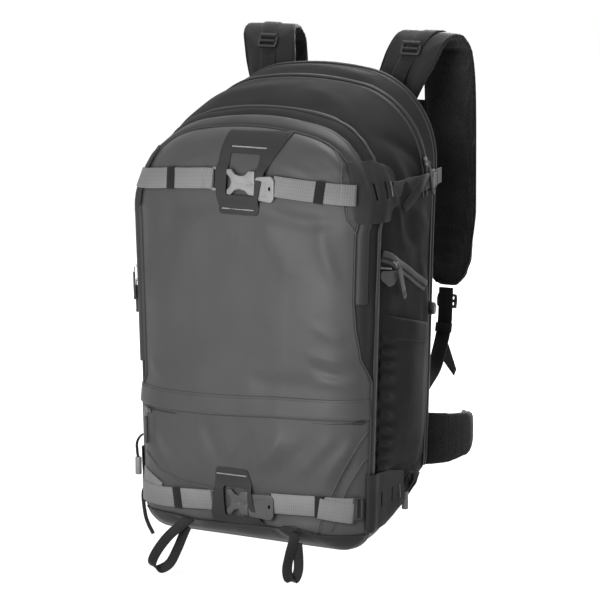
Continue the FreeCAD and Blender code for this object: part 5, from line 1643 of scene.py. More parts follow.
@dataclass
class FrontStrap:
    """One strap across the front: webbing halves, keepers, ladder bar, hook and buckle body."""

    level: str
    z: float
    hook_end: float
    frame_start: float
    window_mid: float
    plastic: str
    surface: Surface
    knots: tuple[tuple[float, float], ...]
    lift: float = 3.6
    width: float = 25.0
    thick: float = 1.6
    plate: float = 3.4

    def rise(self, x: float) -> float:
        """How far the strap lies above its level at x."""
        return float(np.interp(x, *zip(*self.knots)))

    def webbing(self, name: str, x0: float, x1: float, lift: float, drop: float = 0.0,
                slope: float = 0.0) -> bpy.types.Object:
        """A length of webbing between two x, at a lift."""
        middle = (x0 + x1) / 2

        def height(x: float) -> float:
            """Height of the webbing's middle line."""
            return self.z + self.rise(x) - drop + slope * (x - middle)

        track = level_track(height, x0, x1, 0.0)
        return sweep(name, track, flat_section(self.width, self.thick, lift))

    def keeper(self, x: float) -> bpy.types.Object:
        """A snug elastic ring round the webbing."""
        track = level_track(lambda at: self.z + self.rise(at), x - 8, x + 8, 0.0)
        middle = len(track.points) // 2
        base, up, out = track.points[middle], track.sides[middle], track.outs[middle]
        half = self.width / 2 + 0.9
        low, high = self.lift - 0.9, self.lift + self.thick + 0.9
        ring = rounded([(-half, low), (half, low), (half, high), (-half, high)], 1.2, 4)
        points = np.array([base + up * u + out * v for u, v in ring + ring[:1]])
        side = unit(np.cross(out, up))
        return sweep(f"keeper_{self.level}_{int(x)}", side_track(points, side), flat_section(12.0, 0.9))

    def hook(self) -> None:
        """The X-shaped tongue that shows in the patch's window, free to swing out."""
        end = self.hook_end
        arms = [(-14.2, 14.6), (-9.2, 15), (-4.2, 9.6), (2.5, 7.6), (end - 13, 9), (end - 8, 13.8),
                (end, 14.4), (end, -14.4), (end - 8, -13.8), (end - 13, -9), (2.5, -7.6), (-4.2, -9.6),
                (-9.2, -15), (-14.2, -14.6), (-14.2, -9.8), (-9.6, -5.4), (-8, 0), (-9.6, 5.4), (-14.2, 9.8)]
        low, _ = node_box(f"{self.level}_buckle_hook")
        obj = Mould.slab(f"{self.level}_hook", arms[::-1], self.plate)
        groove = Mould.box("groove", (end + 2, 2.2, 1.4), (end / 2 - 1, 0, self.plate))
        pocket = Mould.rod("pocket", 3.2, 1.6, (end - 7.5, 0, self.plate), sides=24)
        Mould.punch(obj, [groove, pocket])
        Mould.round_over(obj, 0.7)
        Mould.settle(obj, (0, low[1] + self.plate, self.window_mid), (1, 0, 0), (0, -1, 0))
        piece(obj, f"{self.level}_hook", self.plastic, f"{self.level}_buckle_hook")

    def frame(self) -> None:
        """The buckle's body beside the patch, with its oval hole and raised rim."""
        low, high = node_box(f"{self.level}_buckle_frame")
        middle = (low + high) / 2
        left, right = self.frame_start - middle[0], high[0] - middle[0]
        outline = rounded([(left, -13.5), (right - 4, -15.6), (right, -11), (right, 11), (right - 4, 15.6),
                           (left, 13.5)], 5, 4)
        obj = Mould.slab(f"{self.level}_buckle", outline, self.plate)
        hole = Mould.rod("hole", 1.7, 20, (right - 6, 0.5, 0), sides=20)
        hole.data.transform(Matrix.Diagonal((1, 1.45, 1, 1)))
        recess = Mould.slab("recess", rounded([(left + 2, -8), (right - 11, -9), (right - 11, 9),
                                               (left + 2, 8)], 3), 3)
        recess.data.transform(Matrix.Translation((0, 0, (self.plate - 0.7) * MM)))
        Mould.punch(obj, [hole, recess])
        Mould.round_over(obj, 0.9, 3)
        Mould.settle(obj, (middle[0], high[1] + 0.05, middle[2]), (1, 0, 0), (0, -1, 0))
        piece(obj, "root", self.plastic, f"{self.level}_buckle_frame")

    def ladder(self, x0: float, x1: float) -> bpy.types.Object:
        """The three-bar end that the left webbing threads through."""
        half = (x1 - x0) / 2
        cutters = [cutter(3.0 - half, 6.6 - half, -11, 11), cutter(9.2 - half, 12.4 - half, -11, 11)]
        obj = rounded_slab(f"{self.level}_ladder", rectangle(-half, half, -14, 14, 3), 2.2, 0.6, cutters)
        spot, out = BARE.front((x0 + x1) / 2, self.z + self.rise(x0))
        return Mould.settle(obj, spot + out * (self.lift - 1.0), (1, 0, 0), out)


@dataclass
class UpperStrap(FrontStrap):
    """The upper front strap."""

    def build(self) -> None:
        """Build it."""
        left = self.webbing("left", -154.0, -35.0, self.lift)
        over = self.webbing("left_fold", -50.0, -34.4, self.lift + 1.8)
        piece(join("upper_webbing_left_cloth", [left, over]), "root", "grey_web", "upper_webbing_left")
        right = self.webbing("right", 46.0, 147.0, self.lift)
        fold = self.webbing("right_fold", 130.0, 146.0, self.lift + 1.8)
        piece(join("upper_webbing_right_cloth", [right, fold]), "root", "grey_web", "upper_webbing_right")
        piece(self.ladder(-38.0, -18.0), "root", self.plastic)
        self.hook()
        self.frame()


@dataclass
class LowerStrap(FrontStrap):
    """The lower front strap, with its folded ends and the ring on its right."""

    def build(self) -> None:
        """Build it."""
        left = self.webbing("left", -154.0, -38.0, self.lift)
        fold = self.webbing("left_fold", -150.0, -116.0, self.lift - 1.8, -11.0, -0.42)
        piece(join("lower_webbing_left_cloth", [fold, left]), "root", "grey_web", "lower_webbing_left")
        right = self.webbing("right", 46.0, 148.0, self.lift)
        tail = self.webbing("right_tail", 108.0, 145.0, self.lift + 1.8, 3.4, -0.12)
        piece(join("lower_webbing_right_cloth", [right, tail]), "root", "grey_web", "lower_webbing_right")
        piece(self.ladder(-45.0, -25.0), "root", self.plastic)
        self.hook()
        self.frame()
        self.ring()

    def ring(self) -> None:
        """The black plastic ring between the right webbing and the corner patch."""
        spot, out = BARE.around(55.5, self.z + 5)
        along = unit(np.cross(np.array([0, 0, 1.0]), out))
        bars = [Mould.rod("bar_a", 1.7, 27, (-4.5, 0, 5.4), "Y"),
                Mould.rod("bar_b", 1.5, 22, (4.5, 0, 4.4), "Y"),
                Mould.rod("arm_a", 1.4, 10, (0, 12.6, 4.9), "X"),
                Mould.rod("arm_b", 1.4, 10, (0, -12.6, 4.9), "X")]
        obj = soften(join("lower_strap_ring", bars), 45)
        Mould.settle(obj, spot, along, out)
        piece(obj, "root", "black_plastic")


# ---------------------------------------------------------------- side pockets
@dataclass
class SidePocket:
    """A stretch pocket on one side: a pouch with an open hem, puckered along its front seam."""

    sign: float
    surface: Surface
    front: float = -52.0
    rear: float = 92.0
    floor: float = 82.0
    hem_front: float = 284.0
    hem_rear: float = 250.0
    bulge: float = 10.5

    def hem(self, share: float) -> float:
        """Height of the hem, from its front to its rear."""
        return self.hem_front + (self.hem_rear - self.hem_front) * share

    def place(self, across: float, up: float) -> Array:
        """A point of the cloth: across from front to rear, up from floor to hem, both 0 to 1."""
        y = self.front + (self.rear - self.front) * across
        z = self.floor + (self.hem(across) - self.floor) * up
        if across > 0.75:
            z += 26 * (across - 0.75) * (1 - up)
        point, out = BARE.side(self.sign, y, z)
        edge = math.sin(math.pi * min(max(across, 0.0), 1.0)) ** 0.55
        rise = float(smooth_step(np.array(up), -0.02, 0.22))
        stand = self.bulge * edge * rise * (0.72 + 0.28 * up)
        pucker = math.exp(-((across - 0.07) / 0.09) ** 2) * (1
                                                             - float(smooth_step(np.array(up), 0.86, 0.95)))
        ripple = 3.4 * pucker * math.sin(z / 2.9 + 1.6 * math.sin(z / 19.0) + across * 14)
        broad = 1.6 * edge * noise.noise(Vector((y / 44, z / 70, self.sign * 5)))
        return point + out * (0.5 + max(stand + ripple + broad, 0.0))

    def build(self) -> None:
        """Build the pouch and its turned hem with stitches."""
        columns, rows = 64, 84
        grid = [[self.place(c / (columns - 1), r / (rows - 1)) for c in range(columns)] for r in range(rows)]
        points = np.array(grid).reshape(-1, 3)
        uvs = []
        faces = grid_faces(rows, columns, False)
        for face in faces:
            uvs += [(points[i][1], points[i][2]) for i in face]
        side = "right" if self.sign > 0 else "left"
        pouch = make_mesh(f"side_pocket_{side}_cloth", points, faces, np.array(uvs) * MM)
        BodyShell.face_outwards(pouch)
        tidy(thicken(pouch, 0.9))
        piece(pouch, "root", "stretch", f"side_pocket_{side}")
        band_rows = [0.86, 0.865, 0.9, 0.95, 0.985, 1.0, 1.004]
        lifts = [0.1, 0.7, 0.8, 0.9, 0.9, 0.5, -0.8]
        band = []
        for up, lift in zip(band_rows, lifts):
            row = np.array([self.place(c / (columns - 1), up) for c in range(columns)])
            band.append(row + np.array([self.sign, -0.1, 0]) * lift)
        hem = make_mesh(f"side_pocket_{side}_hem", np.vstack(band), grid_faces(len(band), columns, False))
        BodyShell.face_outwards(hem)
        # the hem gets the side cloth that is painted darker as shade
        piece(tidy(thicken(hem, 0.7)), "root", "body")
        row = np.array([self.place(c / 60, 0.872) for c in range(2, 59)]) + np.array([self.sign, 0, 0]) * 0.8
        stitches = track_through(row, np.tile([self.sign, 0.0, 0.0], (len(row), 1)))
        piece(stitch_line(f"side_pocket_{side}_stitches", stitches, 2.8, 0.5), "root", "thread")


# ---------------------------------------------------------------- compression straps
@dataclass
class CompressionStrap:
    """The upper side strap: black webbing, its buckle, the rear tab and the loose end."""

    sign: float
    z: float = 430.0
    width: float = 20.0
    rear_edge: float = 105.0

    def at(self, y: float, z: float, lift: float) -> Array:
        """A point above the side, carried straight on past its rear edge."""
        seen = min(y, self.rear_edge)
        point, out = BARE.side(self.sign, seen, z)
        rearward = unit(np.cross(np.array([0, 0, self.sign]), out))
        return point + out * lift + rearward * (y - seen)

    def build_webbing(self) -> list[bpy.types.Object]:
        """The strap itself, in two parts that meet in the buckle."""
        up = np.array([0, 0, 1.0])
        front = np.array([self.at(y, self.z + 0.4 * math.sin(y / 9), 3.2) for y in np.linspace(-31, 78, 30)])
        rear = np.array([self.at(y, self.z, 3.2) for y in np.linspace(90, 110, 10)])
        knots = ((74, 431, 5), (60, 434, 8), (45, 436, 11), (30, 430, 12), (14, 419, 9), (-8, 405, 5))
        loose = curve_through([self.at(y, z, lift) for y, z, lift in knots], 3.0)
        return [sweep("front_run", side_track(front, up * self.sign), flat_section(self.width, 1.5)),
                sweep("rear_run", side_track(rear, up * self.sign), flat_section(self.width, 1.5)),
                sweep("loose_end", side_track(loose, np.array([0, 0.35, 0.9]) * self.sign),
                      flat_section(12, 1.5))]

    def build_buckle(self) -> bpy.types.Object:
        """A side-release buckle in black acetal."""
        body = Mould.slab("buckle_body", rounded([(-12, -13), (4, -13), (12, -10), (12, 10), (4, 13),
                                                  (-12, 13)], 3), 4.2)
        Mould.punch(body, [cutter(-9.5, -6.5, -10.4, 10.4), cutter(-2.5, 6.5, 8.2, 20, 2),
                           cutter(-2.5, 6.5, -20, -8.2, 2)])
        Mould.round_over(body, 0.8, 3)
        prongs = [Mould.rod("prong", 1.7, 9, (2, side * 10.2, 2.2), "X") for side in (-1, 1)]
        obj = join("buckle", [body, *[soften(rod, 45) for rod in prongs]])
        ahead = unit(self.at(90, self.z, 2.6) - self.at(78, self.z, 2.6))
        _, out = BARE.side(self.sign, 84, self.z)
        return Mould.settle(obj, self.at(84, self.z, 2.5), ahead, out)


def build_compression_straps() -> None:
    """Both compression straps with their buckles and grey rear tabs."""
    webs, buckles, tabs = [], [], []
    for sign in (1.0, -1.0):
        strap = CompressionStrap(sign)
        webs += strap.build_webbing()
        buckles.append(strap.build_buckle())
        tab = np.array([strap.at(y, 431, 4.9) for y in np.linspace(97, 117, 7)])
        tabs.append(sweep("tab", side_track(tab, np.array([0, 0, sign])), flat_section(19, 1.5)))
    piece(join("compression_webbing", webs), "root", "black_web", "compression_straps")
    piece(join("compression_strap_buckles", buckles), "root", "black_plastic", "compression_buckles")
    piece(join("compression_strap_tabs", tabs), "root", "grey_web")


# ---------------------------------------------------------------- ice-axe loops
@dataclass
class IceAxeLoop:
    """A loop of narrow webbing sewn into the boot's top seam."""

    side: str
    knots: Sequence[tuple[float, float, float]]
    widths: Sequence[tuple[float, float, float]]

    def build(self) -> None:
        """Build the loop: its knots give the middle line, and its widths the webbing's breadth there."""
        line = curve_through(self.knots, 2.5)
        share = np.linspace(0, 1, len(line))
        given = np.linspace(0, 1, len(self.widths))
        across = np.stack([np.interp(share, given, np.array(self.widths)[:, axis]) for axis in range(3)],
                          axis=1)
        obj = sweep(f"ice_axe_loop_{self.side}_webbing", side_track(line, unit(across)),
                    flat_section(12.5, 1.5, -0.75))
        piece(obj, f"ice_loop_{self.side}", "black_web", f"ice_axe_loop_{self.side}")


# ---------------------------------------------------------------- zip sliders and pulls
@dataclass
class ZipSlider:
    """A zip slider and its pull, on the places of their CAD nodes."""

    name: str
    along: tuple[float, float, float]
    out: tuple[float, float, float]
    hang: tuple[float, float, float] = (0.0, 0.0, -1.0)
    grip: tuple[float, float, float] = (5.4, 34.0, 2.6)
    grip_finish: str = "pull"

    def build_slider(self) -> None:
        """The cast body: waisted top plate on two cheeks, with its bridge."""
        low, high = node_box(f"{self.name}_slider")
        shape = rounded([(-5.5, -2.4), (-1, -2.0), (2.5, -3.4), (5.5, -2.2), (5.5, 2.2), (2.5, 3.4),
                         (-1, 2.0), (-5.5, 2.4)], 1.2)
        top = Mould.round_over(Mould.slab("top", shape, 1.1), 0.35)
        top.data.transform(Matrix.Translation((0, 0, 0.9 * MM)))
        base = Mould.round_over(Mould.slab("base", shape, 0.9), 0.3)
        bridge = Mould.rod("bridge", 1.9, 1.5, (0.6, 0, 1.9), "Y", 20)
        hollow = Mould.rod("hollow", 1.0, 4, (0.6, 0, 2.0), "Y", 16)
        Mould.punch(bridge, [hollow])
        Mould.round_over(bridge, 0.25)
        obj = join(f"{self.name}_slider_body", [top, base, bridge])
        obj.data.transform(Matrix.Translation((0, 0, -1.6 * MM)))
        Mould.settle(obj, (low + high) / 2, self.along, self.out)
        piece(obj, f"{self.name}_slider", "slider", f"{self.name}_slider")

    def build_pull(self) -> None:
        """The wire bail and the moulded grip that hangs from it."""
        low, high = node_box(f"{self.name}_pull")
        middle = (low + high) / 2
        wide, long, thick = self.grip
        hang = unit(np.array(self.hang))
        top = middle + np.array([0, 0, 17.0])
        start = top + hang * 6.5
        shape = rounded([(0, -wide * 0.36), (3, -wide / 2), (long - 2, -wide / 2), (long, -wide * 0.3),
                         (long, wide * 0.3), (long - 2, wide / 2), (3, wide / 2), (0, wide * 0.36)], 1.2)
        grip = Mould.slab("grip", shape, thick)
        grooves = [Mould.box("groove", (1.0, wide + 2, 0.7), (x, 0, thick))
                   for x in (long - 5, long - 7.5, long - 10)]
        Mould.punch(grip, grooves)
        Mould.round_over(grip, 0.7, 3)
        grip.data.transform(Matrix.Translation((0, 0, -thick / 2 * MM)))
        Mould.settle(grip, start, hang, self.out)
        side = unit(np.cross(np.array(self.out), hang))
        loop = [top + side * 1.6, top + hang * 3 + side * 1.9, top + hang * 7.5 + side * 1.1,
                top + hang * 7.5 - side * 1.1, top + hang * 3 - side * 1.9, top - side * 1.6]
        wire = curve_through(np.array(loop), 0.8)
        bail = sweep("bail", side_track(wire, np.array(self.out)), round_section(1.1, 1.1, 0, 8))
        PAINT.dress(grip, self.grip_finish)
        PAINT.dress(bail, "slider")
        obj = join(f"{self.name}_zip_pull", [grip, bail])
        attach(obj, f"{self.name}_pull")
        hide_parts(f"{self.name}_pull")

    def build(self) -> None:
        """Build both."""
        self.build_slider()
        self.build_pull()


# ---------------------------------------------------------------- stuffed pieces
@dataclass(frozen=True)
class Filling:
    """How a stuffed piece is blown up by cloth simulation."""

    voxel: float = 5.0
    pressure: float = 4.0
    frames: int = 20
    limit: float = 5.0

    def simulate(self, obj: bpy.types.Object) -> bpy.types.Object:
        """Remesh a closed piece, let the pressure of its filling swell it, and smooth it.

        Args:
            obj: a closed mesh.

        Returns:
            The same object, with the swollen mesh.
        """
        select_only(obj)
        obj.data.remesh_voxel_size = self.voxel * MM
        bpy.ops.object.voxel_remesh()
        rest = self.places(obj)
        cloth = obj.modifiers.new("Filling", "CLOTH")
        cloth.settings.use_pressure = True
        cloth.settings.uniform_pressure_force = self.pressure
        cloth.settings.effector_weights.gravity = 0
        cloth.settings.quality = 5
        cloth.point_cache.frame_start = 1
        cloth.point_cache.frame_end = self.frames
        scene = bpy.context.scene
        for number in range(1, self.frames + 1):
            scene.frame_set(number)
        evaluated = obj.evaluated_get(bpy.context.evaluated_depsgraph_get())
        swollen = np.zeros(len(rest) * 3, np.float32)
        evaluated.data.vertices.foreach_get("co", swollen)
        moved = swollen.reshape(-1, 3) - rest
        obj.modifiers.remove(cloth)
        scene.frame_set(1)
        length = np.linalg.norm(moved, axis=1, keepdims=True)
        cap = self.limit * MM
        capped = rest + moved * np.minimum(1.0, cap / np.maximum(length, 1e-9))
        obj.data.vertices.foreach_set("co", capped.astype(np.float32).ravel())
        obj.data.update()
        return self.finish(obj)

    @staticmethod
    def places(obj: bpy.types.Object) -> Array:
        """The piece's vertices, in metres."""
        values = np.zeros(len(obj.data.vertices) * 3, np.float32)
        obj.data.vertices.foreach_get("co", values)
        return values.reshape(-1, 3).astype(float)

    @staticmethod
    def finish(obj: bpy.types.Object) -> bpy.types.Object:
        """Even the remeshed faces out, and subdivide once."""
        even = obj.modifiers.new("Even", "SMOOTH")
        even.factor = 0.5
        even.iterations = 4
        fine = obj.modifiers.new("Fine", "SUBSURF")
        fine.levels = 1
        fine.render_levels = 1
        apply_modifiers(obj)
        obj.data.shade_smooth()
        return tidy(obj)


def padded_plate(name: str, outline: Outline, thick: float, origin: Sequence[float], along: Sequence[float],
                 out: Sequence[float], filling: Filling) -> bpy.types.Object:
    """A stuffed pad of an outline: its core a little small, then swollen."""
    core = Mould.slab(name, outline, thick)
    Mould.settle(core, origin, along, out)
    return filling.simulate(core)


def pad_channels(obj: bpy.types.Object, lines: Sequence[tuple[Array, Array]], depth: float, width: float,
                 out: Sequence[float]) -> None:
    """Press sewn channels into a pad along straight lines, in bench millimetres."""
    count = len(obj.data.vertices)
    values = np.zeros(count * 3, np.float32)
    obj.data.vertices.foreach_get("co", values)
    points = to_bench(values.reshape(-1, 3))
    outward = unit(np.array(out, float))
    normals = np.zeros(count * 3, np.float32)
    obj.data.vertex_normals.foreach_get("vector", normals)
    facing = smooth_step(normals.reshape(-1, 3) @ outward, 0.1, 0.6)
    for start, end in lines:
        run = np.array(end, float) - start
        share = np.clip(((points - start) @ run) / (run @ run), 0, 1)
        offset = points - (np.array(start, float) + share[:, None] * run)
        offset = offset - np.outer(offset @ outward, outward)
        away = np.linalg.norm(offset, axis=1)
        points = points - outward * (depth * facing * np.exp(-(away / width) ** 2))[:, None]
    obj.data.vertices.foreach_set("co", to_frame(points).astype(np.float32).ravel())
    obj.data.update()


# ---------------------------------------------------------------- back
@dataclass
class BackPanel:
    """Fixed yoke with the haul loop, and the back door with its sheet, stays and pads."""

    plate: float = 3.0

    def panel(self, node: str, key: str) -> None:
        """A cloth-covered panel with soft edges, on the outline of its CAD node."""
        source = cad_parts[node]
        copy = source.copy()
        copy.data = source.data.copy()
        copy.name = f"{node}_cloth"
        for name in list(copy.keys()):
            del copy[name]
        copy.parent = None
        bpy.context.scene.collection.objects.link(copy)
        tidy(copy, 0.01)
        select_only(copy)
        bpy.ops.object.mode_set(mode="EDIT")
        bpy.ops.mesh.select_all(action="SELECT")
        bpy.ops.mesh.tris_convert_to_quads()
        bpy.ops.mesh.dissolve_limited(angle_limit=math.radians(3))
        bpy.ops.object.mode_set(mode="OBJECT")
        bevel_edges(copy, 1.0, 3, 50)
        soften(copy, 50)
        piece(copy, "root" if node == "yoke_panel" else "back_door", key, node)

    def build_pads(self) -> None:
        """The two long back pads and the lumbar pad, in spacer mesh with sewn channels."""
        back = (0, 1, 0)
        filling = Filling(voxel=5.0, limit=4.0)
        low, high = node_box("back_pads")
        half_x, half_z, y = 34.0, (high[2] - low[2]) / 2 - 3.0, low[1] + 1.2
        middle_z = (low[2] + high[2]) / 2
        outline = rounded([(-half_z, -half_x), (half_z, -half_x + 6), (half_z, half_x - 2),
                           (-half_z, half_x)], 26, 6)
        made = []
        for sign in (-1, 1):
            flipped = [(u, -sign * v) for u, v in outline]
            pad = padded_plate("pad", flipped, 7.6, (sign * 58.0, y, middle_z), (0, 0, 1), back, filling)
            lines = [((sign * 58 - 30, 116, z), (sign * 58 + 30, 116, z + 8)) for z in (215, 286, 357)]
            pad_channels(pad, [(np.array(a, float), np.array(b, float)) for a, b in lines], 3.4, 4.5, back)
            made.append(pad)
        pads = piece(join("back_pads_mesh", made), "back_door", "mesh", "back_pads")
        low, high = node_box("lumbar_pad")
        middle = (low + high) / 2
        outline = rounded([(-97, -38), (97, -38), (90, 34), (40, 39), (-40, 39), (-90, 34)], 18, 5)
        outline = [(v, -u) for u, v in outline]
        lumbar = padded_plate("lumbar_pad_mesh", outline, 9.6, (0, low[1] + 1.2, middle[2]), (0, 0, 1), back,
                              filling)
        lines = [((-60, 118, 62), (-60, 118, 134)), ((60, 118, 62), (60, 118, 134)),
                 ((-26, 118, 98), (26, 118, 98))]
        pad_channels(lumbar, [(np.array(a, float), np.array(b, float)) for a, b in lines], 3.6, 4.5, back)
        piece(lumbar, "back_door", "mesh", "lumbar_pad")

    def build_haul_loop(self) -> None:
        """The haul loop: doubled webbing, arched between two sewn feet."""
        y, crown = 121.6, 549.3
        knots = [(-26.6, y, 506), (-26.6, y, 520), (-26, y, 534), (-20, y, 545.5), (-9, y, crown),
                 (9, y, crown), (20, y, 545.5), (26, y, 534), (26.6, y, 520), (26.6, y, 506)]
        line = curve_through(knots, 2.0)
        arch = sweep("arch", side_track(line, np.array([0, 1.0, 0])), flat_section(20, 2.6, -1.3))
        piece(arch, "root", "black_web", "haul_loop")
        arch.name = "haul_loop_webbing"
        feet = []
        for x in (-26.6, 26.6):
            start, end = np.array([x - 3.5, 113.2, 509.0]), np.array([x + 3.5, 113.2, 509.0])
            feet.append(bar_tack("tack", start, end, np.array([0, 1.0, 0]), 1.6))
        piece(join("haul_loop_tacks", feet), "root", "thread")

    def build_hidden(self) -> None:
        """Frame sheet and stays, which show when the back is open."""
        low, high = node_box("frame_sheet")
        half_z, half_x = (high[2] - low[2]) / 2, high[0]
        sheet = Mould.slab("frame_sheet_plate", rounded([(-half_z, -half_x), (half_z, -half_x),
                                                         (half_z, half_x), (-half_z, half_x)], 36, 6),
                           high[1] - low[1])
        holes = []
        for z in (-120, -60, 0, 60, 120):
            holes.append(cutter(z - 9, z + 9, -22, 22, 8))
        Mould.punch(sheet, holes)
        Mould.round_over(sheet, 0.4)
        Mould.settle(sheet, (0, low[1], (low[2] + high[2]) / 2), (0, 0, 1), (0, 1, 0))
        piece(sheet, "back_door", "sheet", "frame_sheet")
        low, high = node_box("frame_stays")
        stays = []
        for sign in (-1, 1):
            half = (high[2] - low[2]) / 2
            stay = Mould.slab("stay", rectangle(-half, half, -6, 6, 5.5), high[1] - low[1])
            Mould.round_over(stay, 0.6)
            stays.append(Mould.settle(stay, (sign * 70, low[1], (low[2] + high[2]) / 2), (0, 0, 1),
                                      (0, 1, 0)))
        piece(join("frame_stay_bars", stays), "back_door", "stay", "frame_stays")

    def build(self) -> None:
        """Build it all."""
        self.panel("back_door", "back")
        self.panel("yoke_panel", "back")
        self.build_hidden()
        self.build_haul_loop()
        self.build_pads()


# ---------------------------------------------------------------- harness
STRAP_KNOTS = ((74, 117.6, 446), (79, 119.1, 498), (94, 130.6, 552), (108, 150.6, 592), (115, 183.6, 590),
               (119, 203.6, 548), (122, 203.6, 400), (124, 197.6, 335), (125, 188.6, 280))


def pad_section(thick: float) -> Outline:
    """Cross-section of a pad's core, one unit to each side, for a sweep that scales it."""
    return [(-0.97, -thick / 2), (0.97, -thick / 2), (1.0, 0.0), (0.97, thick / 2), (-0.97, thick / 2),
            (-1.0, 0.0)]


@dataclass
class ShoulderStrap:
    """One padded shoulder strap: an outer cloth, a mesh inner face and a bound edge."""

    sign: float
    core: float = 7.0
    half: float = 37.5

    def middle(self) -> Track:
        """The strap's middle line, with its width along x and its outer face outwards."""
        knots = np.array(STRAP_KNOTS, float)
        line = curve_through(knots, 5.0)
        track = side_track(line, np.array([1.0, 0, 0]))
        return track

    def widths(self, count: int) -> Array:
        """Half width along the strap, narrow at its root and rounded at its lower end."""
        share = np.linspace(0, 1, count)
        wide = np.interp(share, (0, 0.10, 0.24, 0.5, 0.8, 0.93, 0.975, 1.0),
                         (0.66, 0.78, 0.98, 1.0, 1.0, 0.86, 0.66, 0.34))
        return wide * self.half

    def build(self) -> None:
        """Build the strap."""
        track = self.middle()
        wide = self.widths(len(track.points))
        side = "right" if self.sign > 0 else "left"
        core = sweep(f"shoulder_strap_{side}_pad", track, pad_section(self.core), False, wide)
        if self.sign < 0:
            core.data.transform(Matrix.Scale(-1, 4, Vector((1, 0, 0))))
            core.data.flip_normals()
        tidy(core, 0.05)
        Filling(voxel=4.2, limit=3.4).simulate(core)
        piece(core, "back_door", "strap", f"shoulder_strap_{side}")
        self.face_inside(core, track)
        self.build_binding(side, track, wide)

    def face_inside(self, obj: bpy.types.Object, track: Track) -> None:
        """Give the face towards the wearer its spacer mesh."""
        obj.data.materials.append(PAINT.material("mesh"))
        points = track.points * np.array([self.sign, 1, 1])
        outs = track.outs
        normals = np.array([face.normal[:] for face in obj.data.polygons])
        centres = to_bench(np.array([face.center[:] for face in obj.data.polygons]))
        for index, (centre, normal) in enumerate(zip(centres, normals)):
            near = int(np.argmin(((points - centre) ** 2).sum(axis=1)))
            wearer = outs[near] * np.array([self.sign, 1, 1])
            if normal @ wearer > 0.05:
                obj.data.polygons[index].material_index = 1

    def build_binding(self, side: str, track: Track, wide: Array) -> None:
        """The bound seam round the strap's edge."""
        points, sides, edge_at = track.points[1:-1], track.sides[1:-1], (wide - 3.0)[1:-1, None]
        loop = np.vstack([points - sides * edge_at, (points + sides * edge_at)[::-1]]) * np.array([self.sign,
                                                                                                   1, 1])
        outs = np.vstack([-sides, sides[::-1]]) * np.array([self.sign, 1, 1])
        edge = track_through(loop, even_outs(outs, 3))
        piece(sweep(f"shoulder_strap_{side}_binding", edge, round_section(3.4, 2.6, 0, 8), True),
              "back_door", "black_web")


def ladder_lock(name: str, wide: float = 26.4, long: float = 17.3, thick: float = 3.4) -> bpy.types.Object:
    """A ladder lock: a bowed frame with a raised upper bar and two webbing slots, in local millimetres."""
    outline = rounded([(-wide / 2, -long / 2), (wide / 2, -long / 2), (wide / 2 + 0.8, 0),
                       (wide / 2, long / 2), (-wide / 2, long / 2), (-wide / 2 - 0.8, 0)], 3)
    slots = [cutter(-10.3, 10.3, 1.9, 5.3, 0.8), cutter(-10.3, 10.3, -5.3, -1.9, 0.8)]
    body = rounded_slab(name, outline, thick, 0.8, slots)
    bar = Mould.rod("bar", 1.9, wide - 2, (0, long / 2 - 1.0, thick + 0.4), "X")
    grip = Mould.rod("grip", 1.4, wide - 5, (0, 0, thick + 0.2), "X")
    return join(name, [body, soften(bar, 45), soften(grip, 45)])


